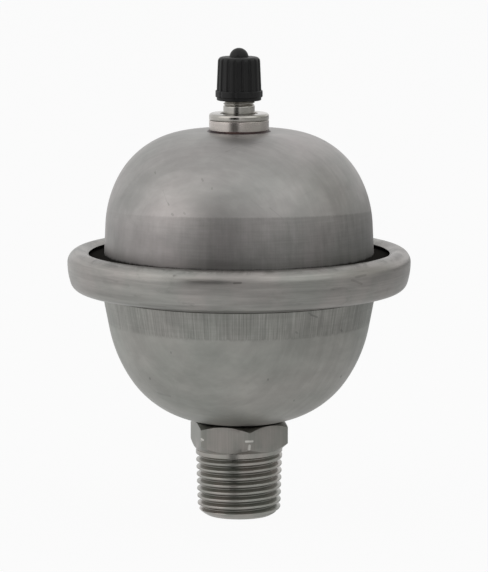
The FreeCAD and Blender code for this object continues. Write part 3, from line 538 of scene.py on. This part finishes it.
def sheet_steel(name, greys, seed, band, marks, lines, left_strength, gap_shade=None):
    """Drawn stainless sheet: cloudy matt grey, draw lines in a band of heights, pits, scuffs and painted shade
    at the foot.

    The band has its low and high edge, its shade at the foot and at the top, and its tilt to the back. Lines
    says how strong the draw lines are, and the next number how much of the band shows on the camera's left."""
    n = Nodes(name)
    z = n.xyz()[2]
    low, high, foot_shade, top_shade, tilt = band
    shift = (seed * 0.31, seed * 0.17, seed * 0.53)
    wall = n.upright(SHELL_RADIUS * MM)
    clouds = n.noise(n.scaled(28, 28, 34, shift), detail=4.0, rough=0.55, distortion=0.4)
    smear = n.noise(n.scaled(45, 45, 120, shift, (0.5, 0.2, 0)), detail=4.0, rough=0.6)
    scuffs = n.noise(n.scaled(60, 420, 60, shift, (0.3, 0.0, 0.9)), detail=4.0, rough=0.65)
    mottle = n.noise(n.scaled(150, 150, 190, shift), detail=5.0, rough=0.65, distortion=0.6)
    grain = n.noise(n.scaled(2600, 2600, 2600), detail=2.0, rough=0.6)
    drawn = n.noise(n.scaled(2900, 2900, 75, shift, source=wall), detail=2.0, rough=0.7)
    broad = n.noise(n.scaled(620, 620, 110, shift, source=wall), detail=3.0, rough=0.6)
    wiped = n.noise(n.scaled(70, 70, 2400, shift), detail=3.0, rough=0.6)

    ragged = n.times(n.minus(drawn, 0.5), 0.0032 * lines)
    edge = n.plus(n.plus(z, ragged), n.toward(AHEAD * tilt))
    upper = n.band(edge, low * MM, (low + 0.5) * MM)
    lower = n.band(edge, (high - 0.5) * MM, high * MM, 1.0, 0.0)
    # The band and its lines fade towards the camera's left side.
    inside = n.times(n.times(upper, lower), n.band(n.toward(RIGHT), -0.030, -0.006, left_strength, 1.0))

    colour = n.mix(n.band(clouds, 0.3, 0.7), *greys)
    colour = n.dim(colour, n.band(smear, 0.25, 0.75, 0.91, 1.09))
    colour = n.dim(colour, n.band(scuffs, 0.35, 0.65, 0.95, 1.045))
    colour = n.dim(colour, n.band(mottle, 0.35, 0.68, 0.955, 1.04))
    strokes = n.band(drawn, 0.30, 0.70, 1.0 - 0.24 * lines, 1.0 + 0.18 * lines)
    strokes = n.times(strokes, n.band(broad, 0.3, 0.7, 0.95, 1.04))
    strokes = n.times(strokes, n.band(wiped, 0.3, 0.7, 0.96, 1.04))
    band_shade = n.band(z, (high - 8.0) * MM, high * MM, foot_shade, top_shade)
    full = n.minus(n.times(strokes, band_shade), 1.0)
    colour = n.dim(colour, n.plus(1.0, n.times(inside, full)))

    cells = n.add("ShaderNodeTexVoronoi", {"Vector": n.scaled(1, 1, 1, shift), "Scale": 105.0})
    chosen = n.band(n.add("ShaderNodeSeparateXYZ", {"Vector": cells.outputs["Color"]}).outputs[0], 0.80, 0.82)
    pits = n.times(n.band(cells.outputs["Distance"], 0.022, 0.04, 0.6, 0.0), chosen)
    spots = n.marked(marks, pits)
    colour = n.mix(n.times(spots, 0.75), colour, PIT)
    rough = n.plus(n.band(clouds, 0.3, 0.7, 0.42, 0.48), n.times(inside, 0.03))
    normal = n.bumped((grain, 0.25, 0.02), (n.times(drawn, inside), 0.30 * lines, 0.03), (spots, -0.5, 0.06))
    if gap_shade is None:
        return n.surface(colour, rough, normal=normal)
    # Painted shade: the foot, down in the gap under the ring's lip, turns dull and near black.
    foot = n.plus(z, n.times(n.minus(broad, 0.5), 0.0006))
    unshaded = n.band(foot, gap_shade[0] * MM, gap_shade[1] * MM)
    colour = n.mix(unshaded, GAP_SHADE_COLOUR, colour)
    rough = n.math("MAXIMUM", rough, n.minus(0.95, unshaded))
    return n.surface(colour, rough, unshaded, normal, Specular_IOR_Level=n.times(unshaded, 0.5))


def ring_steel(marks):
    """Rolled ring: matt, with smears and rubbed streaks that run round it, and painted shade inside its roll.
    """
    n = Nodes("ring_steel")
    z = n.xyz()[2]
    streaks = n.noise(n.scaled(38, 38, 700), detail=5.0, rough=0.6, distortion=0.5)
    smears = n.noise(n.scaled(60, 60, 260), detail=4.0, rough=0.65, distortion=0.8)
    clouds = n.noise(n.scaled(70, 70, 70), detail=4.0, rough=0.6)
    grain = n.noise(n.scaled(1900, 1900, 1900), detail=3.0, rough=0.6)
    rubs = n.noise(n.scaled(90, 90, 420, (2, 1, 5)), detail=5.0, rough=0.7)
    blots = n.noise(n.scaled(130, 130, 300, (4, 3, 1)), detail=5.0, rough=0.7, distortion=1.0)

    colour = n.mix(n.band(clouds, 0.35, 0.65), *RING_GREYS)
    colour = n.dim(colour, n.band(streaks, 0.25, 0.75, 0.84, 1.14))
    colour = n.dim(colour, n.band(smears, 0.3, 0.7, 0.92, 1.08))
    colour = n.mix(n.marked(marks, n.times(n.band(rubs, 0.62, 0.72), 0.28)), colour, SCUFF)
    on_lip = n.times(n.band(z, 0.0650, 0.0660), n.band(blots, 0.44, 0.60))
    colour = n.dim(colour, n.minus(1.0, n.times(on_lip, 0.30)))
    colour = n.dim(colour, n.band(blots, 0.58, 0.74, 1.0, 0.84))

    # Painted shade: inside the roll the colour falls to a tenth.
    across = n.minus(n.distance(), (RING["radius"] - RING["roll"]) * MM)
    above = n.minus(z, WAIST * MM)
    colour = n.dim(colour, n.band(n.length(across, above), 0.0018, 0.0024, 0.10, 1.0))
    normal = n.bumped((grain, 0.22, 0.03), (streaks, 0.35, 0.05), (clouds, 0.25, 0.25))
    return n.surface(colour, n.band(smears, 0.3, 0.7, 0.33, 0.45), normal=normal)


def turned_steel(name, greys, rough):
    """Turned metal: fine rings round the axis, a little uneven."""
    n = Nodes(name)
    rings = n.noise(n.scaled(20, 20, 7200), detail=3.0, rough=0.6)
    clouds = n.noise(n.scaled(160, 160, 160), detail=3.0, rough=0.5)
    colour = n.dim(n.mix(n.band(clouds, 0.3, 0.7), *greys), n.band(rings, 0.3, 0.7, 0.92, 1.08))
    gloss = n.band(clouds, 0.3, 0.7, rough - 0.04, rough + 0.04)
    return n.surface(colour, gloss, normal=n.bumped((rings, 0.3, 0.02)))


def connector_steel(nicks):
    """The connector: turned rings on the thread, brushed flats on the hex, and a few nicks painted bright as
    glints.
    """
    n = Nodes("connector_steel")
    rings = n.noise(n.scaled(24, 24, 6000), detail=3.0, rough=0.6)
    brushed = n.noise(n.scaled(3400, 3400, 60), detail=2.0, rough=0.6)
    clouds = n.noise(n.scaled(170, 170, 120), detail=4.0, rough=0.55)
    on_hex = n.band(n.xyz()[2], (HEX_LOW - 0.2) * MM, (HEX_LOW + 0.1) * MM)
    strokes = n.plus(n.times(rings, n.minus(1.0, on_hex)), n.times(brushed, on_hex))
    colour = n.mix(n.band(clouds, 0.3, 0.7), *CONNECTOR_GREYS)
    colour = n.dim(colour, n.band(strokes, 0.3, 0.7, 0.95, 1.05))
    # Painted highlight: the thread is 1.28 times lighter than the hex, standing in for its bright crests.
    colour = n.dim(colour, n.minus(1.28, n.times(on_hex, 0.28)))
    # Painted glint: the nicks are real marks, but their bright colour stands in for the light they catch.
    colour = n.mix(n.marked(nicks), colour, NICK_GLINT)
    rough = n.plus(n.band(clouds, 0.3, 0.7, 0.27, 0.36), n.times(on_hex, 0.05))
    return n.surface(colour, rough, normal=n.bumped((strokes, 0.25, 0.02)))


def weld_steel():
    """Heat tint: brown to purple, over fine ripples."""
    n = Nodes("weld_tint")
    clouds = n.noise(n.scaled(320, 320, 500), detail=3.0, rough=0.6)
    colour = n.mix(n.band(clouds, 0.3, 0.7), *WELD_TINTS)
    return n.surface(colour, n.band(clouds, 0.3, 0.7, 0.40, 0.52), normal=n.bumped((clouds, 0.4, 0.05)))


def cap_plastic():
    """Moulded black plastic with a fine satin grain."""
    n = Nodes("cap_black")
    grain = n.noise(n.scaled(1500, 1500, 1500), detail=3.0, rough=0.6)
    clouds = n.noise(n.scaled(240, 240, 160), detail=3.0, rough=0.5)
    colour = n.mix(n.band(clouds, 0.3, 0.7), *CAP_BLACKS)
    normal = n.bumped((grain, 0.2, 0.02))
    return n.surface(colour, n.band(clouds, 0.3, 0.7, 0.42, 0.54), 0.0, normal, Specular_IOR_Level=0.27)


def plain(name, light, dark, rough, metallic, scale=400.0):
    """A simple finish for small and hidden pieces: cloudy colour, uneven gloss and fine grain."""
    n = Nodes(name)
    clouds = n.noise(n.scaled(scale, scale, scale), detail=3.0, rough=0.55)
    grain = n.noise(n.scaled(2600, 2600, 2600), detail=2.0, rough=0.5)
    colour = n.mix(n.band(clouds, 0.3, 0.7), light, dark)
    gloss = n.band(clouds, 0.3, 0.7, rough - 0.05, rough + 0.05)
    return n.surface(colour, gloss, metallic, n.bumped((grain, 0.2, 0.01)))


# Pieces

def up(height):
    return BOWL_BOTTOM + height


def down(height):
    return DOME_TOP - height


BOWL_SECTION, BOWL_OUTER = BOWL_WALL.sheet(BOWL_HOLE, up)
DOME_SECTION, DOME_OUTER = DOME_WALL.sheet(DOME_HOLE, down)
BOWL_FACE = BOWL_SECTION[:BOWL_OUTER]
DOME_FACE = DOME_SECTION[:DOME_OUTER]


def on(section, *pixels, flats=False):
    """Marks from pixels of the photograph: two ends, a width and a depth each."""
    return [(spot(a, b, section, flats), spot(c, d, section, flats), width, depth)
            for a, b, c, d, width, depth in pixels]


def make_shells():
    dome_marks = on(
        DOME_FACE,
        (155, 172, 169, 205, 0.24, 0.62), (202, 179, 203, 181, 0.28, 0.5), (212, 188, 212, 189, 0.26, 0.5),
        (172, 214, 173, 215, 0.36, 0.5), (184, 213, 185, 214, 0.30, 0.4), (324, 140, 325, 141, 0.32, 0.9),
        (226, 152, 262, 142, 0.25, 0.30), (232, 149, 256, 143, 0.2, 0.3), (270, 208, 282, 218, 0.16, 0.28),
        (251, 200, 262, 209, 0.12, 0.2), (163, 190, 167, 202, 0.12, 0.25),
    )
    bowl_marks = on(
        BOWL_FACE,
        (150, 378, 150, 379, 0.34, 0.85), (341, 376, 341, 377, 0.38, 0.9), (268, 379, 268, 380, 0.30, 0.7),
        (171, 352, 171, 353, 0.26, 0.6), (294, 400, 294, 401, 0.26, 0.6), (158, 393, 170, 396, 0.5, 0.35),
        (341, 330, 342, 331, 0.36, 0.9), (311, 315, 317, 317, 0.3, 0.75), (309, 313, 312, 315, 0.25, 0.6),
        (296, 332, 297, 333, 0.28, 0.6),
    )
    dome_band, bowl_band = (60.0, 76.1, 0.71, 0.80, 0.062), (48.0, 60.0, 0.89, 0.89, 0.0)
    steel = sheet_steel("dome_steel", DOME_GREYS, 1, dome_band, dome_marks, lines=0.13, left_strength=0.25,
                        gap_shade=(65.1, 65.8))
    dress(revolve("dome_sheet", DOME_SECTION, SHELL_COLUMNS), "tank", "upper_shell", steel)
    steel = sheet_steel("bowl_steel", BOWL_GREYS, 4, bowl_band, bowl_marks, lines=0.8, left_strength=0.8)
    dress(revolve("bowl_sheet", BOWL_SECTION, SHELL_COLUMNS), "tank", "lower_shell", steel)


def make_ring():
    angle = round_angles(RING_COLUMNS)
    lip = RING["lip"] + 1.6 * wander(angle, 5, (2, 3, 7, 13, 29, 61)) - 1.4
    shift = 0.03 * wander(angle, 9, (3, 5, 11, 23, 47))
    sections = np.stack([ring_section(a, b) for a, b in zip(lip, shift)], axis=1)
    radius, height = sections[..., 0], sections[..., 1]
    radius[RING_FACE] += 0.05 * wander(angle, 12, (2, 3, 5, 9, 14)) - 0.05
    ring = finish_mesh(turned("rolled_ring", radius, height, angle), 40)
    profile = ring_section(RING["lip"], 0.0)[RING_FACE]
    marks = on(
        profile[profile[:, 1] < WAIST + RING["roll"]],
        (234, 283.3, 241, 282.8, 0.28, 0.55), (174, 276, 177, 276, 0.40, 0.5), (140, 304, 165, 307, 0.5, 0.12),
        (352, 280, 362, 284, 0.35, 0.22), (356, 277, 366, 275, 0.35, 0.2), (104, 282, 128, 286, 0.6, 0.14),
    )
    dress(ring, "tank", "clamp_ring", ring_steel(marks))


def make_seam():
    """A burr in the fold between the ring and the bowl, uneven round the tank, coloured near black as painted
    shade.
    """
    angle = round_angles(RING_COLUMNS)
    wall = BOWL_WALL.bend_centre[0] - BOWL["bend"] * cos(BOWL["draft"])
    foot = ring_floor(wall + NECK_GAP, 0.0)[0][1]
    thick = 0.10 + 0.05 * wander(angle, 21, (1, 2, 5, 9, 17, 31, 63))
    rows = [(wall - 0.02, foot - 0.10 - thick), (wall + 0.16 + thick, foot - 0.02 - thick * 0.4),
            (wall + 0.20 + thick, foot + 0.05), (wall + 0.02, foot + 0.25)]
    seam = finish_mesh(turned("seam_shade", *table(rows, RING_COLUMNS), angle))
    # Painted shade: the burr is coloured near black, standing in for the shade in the fold.
    seam.data.materials.append(plain("seam_shade", *SEAM_SHADE_BROWNS, 0.7, 0.2, 900.0))
    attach(seam, "tank")


def helix_rows(low, high, pitch, per_pitch, columns):
    """Rows that climb with a thread, so that its crests and roots are clean edges."""
    angle = np.linspace(0, TURN, columns + 1)
    first = math.floor((low - pitch) / pitch * per_pitch)
    last = math.ceil(high / pitch * per_pitch)
    rows = np.arange(first, last + 1) * pitch / per_pitch
    return angle, rows[:, None] + pitch * angle[None, :] / TURN


def soft_min(first, second, width):
    """The lesser of two values, with the corner between them rounded."""
    return 0.5 * (first + second - np.sqrt((first - second) ** 2 + width ** 2))


def vee(distance, depth, flank, flat, round_off):
    """How deep a thread's groove is at a distance from its middle, with crest and root rounded."""
    raw = depth - (distance - flat / 2) / tan(flank)
    return soft_min(-soft_min(-raw, 0, round_off), depth + 0.4 * round_off, 0.6 * round_off)


def connector_thread():
    """Tables of the thread, from the bevelled end up to the hexagon."""
    t, b = THREAD, BEVEL
    angle, height = helix_rows(0.0, HEX_LOW, t["pitch"], 18, 256)
    height = np.clip(height, 0.0, HEX_LOW)
    turns = (height - t["start"]) / t["pitch"] - angle[None, :] / TURN
    nearest = np.round(turns)
    distance = np.abs(turns - nearest) * t["pitch"]
    run = nearest + angle[None, :] / TURN
    share = np.clip(1 - (run - t["turns"]) / t["fade"], 0, 1)
    crest = t["radius"] + height * t["taper"]
    depth = vee(distance, t["depth"], 27.5, 0.16, 0.10)
    radius = crest - np.maximum(depth - t["depth"] * (1 - share), 0)
    swell = b["swell"] * np.sin(np.clip(height / b["height"], 0, 1) * math.pi / 2) ** b["power"]
    bevel = np.where(height < b["height"], b["foot"] + swell, FAR)
    return angle, np.minimum(radius, bevel), height


def make_connector():
    angle, radius, height = connector_thread()
    bore = [(BORE, z) for z in (CONNECTOR_TOP, 18.0, 12.0, 6.0, 0.35)] + [(BORE + 0.25, 0.0), (BORE + 0.9, 0.0)]
    flat = HEX_FLAT / np.cos(np.radians(np.degrees(angle) % 60 - 30))
    left_strength = soft_min(flat, HEX_WORN, 0.06)
    land, corner = HEX_FLAT - 0.15, 2 * HEX_FLAT / math.sqrt(3)
    lean = (left_strength - land) / (corner - land)
    low, high = HEX_LOW + 1.55 * lean, HEX_HIGH - 1.1 * lean
    chamfer = (0.33, 0.66, 0.96)
    hexagon = [(land - 0.1, HEX_LOW), (land + 0.03, HEX_LOW + 0.02)]
    hexagon += [(land + share * (left_strength - land), HEX_LOW + share * (low - HEX_LOW)) for share in chamfer]
    hexagon += [(left_strength, low + 0.05)] + [(left_strength, low + share * (high - low)) for share in (0.2, 0.4, 0.6, 0.8)]
    hexagon += [(left_strength, high - 0.05)]
    hexagon += [(land + share * (left_strength - land), HEX_HIGH - share * (HEX_HIGH - high)) for share in chamfer[::-1]]
    hexagon += [(land + 0.03, HEX_HIGH - 0.02), (land - 0.1, HEX_HIGH), (NECK + 0.1, HEX_HIGH),
                (NECK, HEX_HIGH + 0.15), (NECK, CONNECTOR_TOP)]
    rows = bore + list(zip(radius, height)) + hexagon
    piece = finish_mesh(turned("pipe_connector", *table(rows, len(angle)), angle, weld=True), 24)
    front = line((HEX_FLAT, HEX_LOW), (HEX_FLAT, HEX_HIGH), 20)
    nicks = on(
        front,
        (246, 441.6, 248.5, 441.5, 0.34, 0.62), (249.4, 441.5, 252.6, 441.3, 0.34, 0.58),
        (249.6, 446.0, 249.1, 449.4, 0.44, 0.5), (201, 438.8, 203.2, 440, 0.30, 0.6),
        (200.6, 440.6, 201.6, 440.9, 0.2, 0.3),
        flats=True,
    )
    dress(piece, "tank", "water_connector", connector_steel(nicks))


def make_boss():
    b = BOSS
    foot, top = DOME_TOP + 0.02, DOME_TOP + b["height"]
    section = soften([
        (b["bore"], b["stub_foot"], 0), (b["stub"], b["stub_foot"], 0.1), (b["stub"], foot, 0),
        (b["radius"], foot, 0), (b["radius"], top, b["bevel"]), (b["recess"], top, 0.05),
        (b["recess"], top - b["sink"], 0), (b["bore"], top - b["sink"], 0),
    ], 6)
    boss = revolve("boss_turning", subdivide(section, 0.8), 192)
    dress(boss, "tank", "valve_boss", turned_steel("boss_steel", BOSS_GREYS, 0.26))
    columns = 420
    angle = round_angles(columns)
    size = 0.47 + 0.03 * wander(angle, 31, (3, 8, 19, 45, 90, 140))
    inner = b["radius"] + 0.02
    rows = [(inner, foot), (inner + size, foot), (inner + size * 0.62, foot + size * 0.17),
            (inner + size * 0.28, foot + size * 0.5), (inner, foot + size)]
    weld = finish_mesh(turned("boss_weld_run", *table(rows, columns), angle), 50)
    dress(weld, "tank", "boss_weld", weld_steel())


def make_stem():
    t = STEM
    seat = DOME_TOP + BOSS["height"] + 0.02
    flange = DOME_TOP + BOSS["height"] + t["flange_height"]
    low, high = flange - 0.45, t["top"]
    angle, height = helix_rows(low, high, t["pitch"], 12, 144)
    height = np.clip(height, low, high)
    turns = (height - t["start"]) / t["pitch"] - angle[None, :] / TURN
    distance = np.abs(turns - np.round(turns)) * t["pitch"]
    cut = vee(distance, t["depth"], 30.0, 0.08, 0.06) * np.clip((height - t["run_out"]) / 0.4, 0, 1)
    waist = 0.08 * np.exp(-((height - t["waist"]) / 0.25) ** 2)
    radius = np.minimum(t["thread"] - cut - waist, t["nose"] + high - height)
    outside = [
        (t["hole"], t["foot"]), (t["shank"] - 0.25, t["foot"]), (t["shank"], t["foot"] + 0.25),
        (t["shank"], seat), (t["flange"] - 0.2, seat), (t["flange"] - 0.06, seat + 0.06),
        (t["flange"], seat + 0.22), (t["flange"], flange - t["rim"]),
        *arc((t["flange"] - t["rim"], flange - t["rim"]), t["rim"], 12, 90, 8),
        (5.2, flange), (4.72, flange - 0.02), (t["collar"], flange - 0.12), (t["collar"], low), (3.9, low),
    ]
    inside = [
        (3.3, high), (t["mouth"] + 0.1, high), (t["mouth"], high - 0.1), (t["mouth"], t["mouth_foot"]),
        (t["throat"], t["throat_top"]), (t["throat"], t["throat_foot"]), (t["hole"], t["throat_foot"]),
    ]
    rows = outside + list(zip(radius, height)) + inside
    stem = finish_mesh(turned("stem_turning", *table(rows, len(angle)), angle, weld=True), 34)
    dress(stem, "tank", "valve_stem", turned_steel("stem_nickel", STEM_GREYS, 0.21))


def cap_section():
    c = CAP
    foot, lip, grip, top, roof = c["foot"], c["lip"], c["grip"], c["top"], c["roof"]
    bore, skirt, collar, edge = c["bore"], c["skirt"], c["collar"], c["edge"]
    outer = chain(
        np.array([[bore, foot], [5.1, foot]]),
        arc((skirt - 0.2, foot + 0.2), 0.2, -90, 0, 5),
        line((skirt, foot + 0.25), (skirt, lip - 0.05), 3),
        arc((collar - 0.2, lip + 0.2), 0.2, -60, 0, 5),
        line((collar, lip + 0.25), (collar, grip - 0.25), 6),
        arc((collar - 0.25, grip - 0.22), 0.25, 0, 80, 6),
        line((c["grip_foot"], grip + 0.03), (c["grip_top"], top - edge), 46),
        arc((c["grip_top"] - edge, top - edge), edge, 0, 90, 16)[1:],
        line((4.0, top), (2.5, top), 4),
        np.array([[c["nub"] + 0.01, top + 0.03]]),
    )
    rise = c["nub_rise"]
    ball = (c["nub"] ** 2 + rise ** 2) / (2 * rise)
    start = math.degrees(math.asin((ball - rise) / ball))
    nub = arc((0, top + rise - ball), ball, start, 89.5, 20)
    inside = np.array([[0.02, roof], [bore - 0.035, roof], [bore, roof - 0.14], [bore, 104.0]])
    return chain(outer, nub[nub[:, 1] > top + 0.05], inside)


def make_cap():
    c = CAP
    section = cap_section()
    angle = round_angles(22 * c["flutes"])
    radius, height = table(section, len(angle))
    narrowing = (c["grip_foot"] - c["grip_top"]) / (c["top"] - c["edge"] - c["grip"])
    centre = c["grip_foot"] + 0.15 - (height - c["grip"]) * narrowing
    step = TURN / c["flutes"]
    delta = (angle - math.radians(CAMERA_SIDE) + step / 2) % step - step / 2
    side = centre * np.sin(delta)
    reach = np.sqrt(np.maximum(c["groove"] ** 2 - side ** 2, 0))
    groove = np.where(np.abs(side) < c["groove"], centre * np.cos(delta) - reach, FAR)
    fluted = np.minimum(soft_min(radius, groove, 0.05), radius)
    on_grip = (height > c["grip"] + 0.02) & (height < c["top"] + 0.02) & (radius > 3.95)
    radius = np.where(on_grip & (groove < FAR), fluted, radius)
    nick = 0.10 * np.clip(np.cos(angle * 9 + 0.4), 0, 1) ** 6
    on_collar = (height > c["lip"]) & (height < c["grip"] - 0.1) & (radius > c["collar"] - 0.1)
    radius = radius - np.where(on_collar, nick, 0)
    cap = finish_mesh(turned("cap_moulding", radius, height, angle), 38)
    dress(cap, "cap", "valve_cap", cap_plastic())


def make_spring():
    """The core's spring, which shortens as the pin is pressed. Its box is in metres."""
    low, high = (np.array(corner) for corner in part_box("core_spring"))
    wire, turns, per_turn, around = 0.13 * MM, 6, 26, 10
    share = np.linspace(0, 1, turns * per_turn + 1)[:, None]
    angle = share * turns * TURN
    section = round_angles(around)
    reach = high[0] - wire + wire * np.cos(section)
    height = low[2] + wire + share * (high[2] - low[2] - 2 * wire) + wire * np.sin(section)
    points = np.stack((reach * np.cos(angle), reach * np.sin(angle), height), axis=-1).reshape(-1, 3)
    faces = [(row * around + k, row * around + (k + 1) % around, (row + 1) * around + (k + 1) % around,
              (row + 1) * around + k) for row in range(len(share) - 1) for k in range(around)]
    last = (len(share) - 1) * around
    faces += [tuple(range(around)), tuple(range(last + around - 1, last - 1, -1))]
    spring = finish_mesh(linked("spring_coil", points.tolist(), faces), 50)
    finish = plain("spring_steel", *SPRING_GREYS, 0.28, 1.0)
    dress(spring, "tank", "core_spring", finish)
    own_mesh(spring)


def dress_inside():
    """Finishes for the solids that show as they are."""
    seal = plain("seal_rubber", (0.018, 0.018, 0.018), (0.032, 0.032, 0.032), 0.55, 0.0)
    brass = plain("core_brass", (0.62, 0.45, 0.20), (0.50, 0.35, 0.15), 0.28, 1.0)
    finishes = {
        "diaphragm": plain("diaphragm_rubber", (0.022, 0.022, 0.022), (0.038, 0.037, 0.036), 0.62, 0.0, 60.0),
        "barrel_seal": plain("core_seal_red", (0.42, 0.045, 0.030), (0.30, 0.030, 0.022), 0.40, 0.0),
        "stem_seal": seal, "cup_seal": seal, "cap_seal": seal,
        "core_plug": brass, "core_barrel": brass, "core_pin": brass, "pin_cup": brass,
    }
    for node, finish in finishes.items():
        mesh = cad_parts[node].data
        if not mesh.materials:
            mesh.materials.append(None)
        for index in range(len(mesh.materials)):
            mesh.materials[index] = finish


# Studio, in metres and degrees

MIDDLE = (0, 0, 0.06)


def rays(tree, *kinds):
    """1 for the kinds of ray that are named, such as those from the camera."""
    path = tree.nodes.new("ShaderNodeLightPath")
    total = path.outputs[kinds[0]]
    for kind in kinds[1:]:
        most = tree.nodes.new("ShaderNodeMath")
        most.operation = "MAXIMUM"
        tree.links.new(total, most.inputs[0])
        tree.links.new(path.outputs[kind], most.inputs[1])
        total = most.outputs[0]
    return total


def make_world():
    """White for rays that see it, and a plain fill for the light that it gives."""
    world = bpy.data.worlds.new("studio")
    bpy.context.scene.world = world
    world.use_nodes = True
    tree = world.node_tree
    tree.nodes.clear()
    mix = tree.nodes.new("ShaderNodeMixShader")
    for socket, colour, strength in ((1, (0.97, 0.98, 1.0, 1), 0.42), (2, (1, 1, 1, 1), 1.0)):
        background = tree.nodes.new("ShaderNodeBackground")
        background.inputs["Color"].default_value = colour
        background.inputs["Strength"].default_value = strength
        tree.links.new(background.outputs[0], mix.inputs[socket])
    tree.links.new(rays(tree, "Is Camera Ray", "Is Glossy Ray", "Is Transmission Ray"), mix.inputs[0])
    output = tree.nodes.new("ShaderNodeOutputWorld")
    tree.links.new(mix.outputs[0], output.inputs["Surface"])


def make_floor():
    """A pale floor that keeps the shadow. For the metal it glows white on the left and falls to its lit matt
    self on the right: painted light that the metal mirrors.
    """
    half, corners, below = 9.0, 24, -0.0002
    ring = [(half * math.cos(turn), half * math.sin(turn), below) for turn in round_angles(corners)]
    floor = linked("floor", ring, [list(range(corners))])
    n = Nodes("floor")
    grain = n.noise(n.scaled(3, 3, 3), detail=2.0)
    matt = n.add("ShaderNodeBsdfDiffuse", {"Color": n.mix(grain, (0.80, 0.80, 0.80), (0.83, 0.83, 0.825))})
    white = n.add("ShaderNodeEmission", {"Color": (1, 1, 1), "Strength": 1.0})
    camera = rays(n.tree, "Is Camera Ray", "Is Transmission Ray")
    glossy = rays(n.tree, "Is Glossy Ray")
    # Painted light: for glossy rays the floor glows white on the left, fading on the right to the lit matt
    # floor.
    sheen = n.band(n.toward(RIGHT), -0.25, 0.35, 0.92, 0.16)
    share = n.plus(n.times(camera, 0.94), n.times(glossy, sheen))
    mix = n.add("ShaderNodeMixShader", {0: share, 1: matt.outputs[0], 2: white.outputs[0]})
    floor.data.materials.append(n.output(mix))


def aim(thing, side, elevation, reach, target):
    """Puts a lamp or card at an angle round from the camera's side, facing the object."""
    z_axis = np.array([sin(CAMERA_SIDE + side) * cos(elevation), -cos(CAMERA_SIDE + side) * cos(elevation),
                       sin(elevation)])
    thing.location = (np.array(target) + z_axis * reach).tolist()
    x_axis = np.cross((0, 0, 1.0), z_axis)
    x_axis /= np.linalg.norm(x_axis)
    y_axis = np.cross(z_axis, x_axis)
    thing.rotation_euler = mathutils.Matrix(np.column_stack((x_axis, y_axis, z_axis)).tolist()).to_euler()


def make_lamp(name, side, elevation, reach, width, height, power, colour):
    data = bpy.data.lights.new(name, "AREA")
    data.shape = "RECTANGLE"
    data.size, data.size_y = width, height
    data.energy = power
    data.color = colour
    aim(in_scene(name, data), side, elevation, reach, MIDDLE)


def make_card(name, side, elevation, reach, width, height, shade, target=MIDDLE):
    """A studio flag out of the camera's sight, which the metal mirrors."""
    w, h = width / 2, height / 2
    card = linked(name, [(-w, -h, 0), (w, -h, 0), (w, h, 0), (-w, h, 0)], [(0, 1, 2, 3)])
    aim(card, side, elevation, reach, target)
    n = Nodes(name)
    card.data.materials.append(n.output(n.add("ShaderNodeEmission", {"Color": shade, "Strength": 1.0})))
    card.visible_camera = False
    card.visible_shadow = False


def make_studio():
    make_world()
    make_floor()
    make_lamp("key", -60, 30, 1.6, 1.5, 1.6, 4.6, (1.0, 0.955, 0.935))
    make_lamp("fill", 60, 42, 1.6, 1.2, 1.2, 1.9, (0.96, 1.0, 0.97))
    make_card("core_flag", -18, 11.5, 0.36, 0.23, 0.25, (0.02, 0.02, 0.02))
    make_card("thread_flag", -13, 0, 0.0286, 0.0085, 0.0140, (0.01, 0.01, 0.01), target=(0, 0, 0.0068))
    make_card("low_flag", 46, 3, 1.4, 1.9, 0.36, (0.36, 0.37, 0.35))
    make_card("side_flag", 98, 22, 1.8, 1.6, 1.9, (0.62, 0.63, 0.60))
    make_card("edge_flag", 122, 1.5, 1.0, 1.3, 0.14, (0.30, 0.30, 0.30))


make_shells()
make_ring()
make_seam()
make_connector()
make_boss()
make_stem()
make_cap()
make_spring()
dress_inside()
make_camera()
make_studio()
bpy.context.scene.view_settings.view_transform = "Standard"
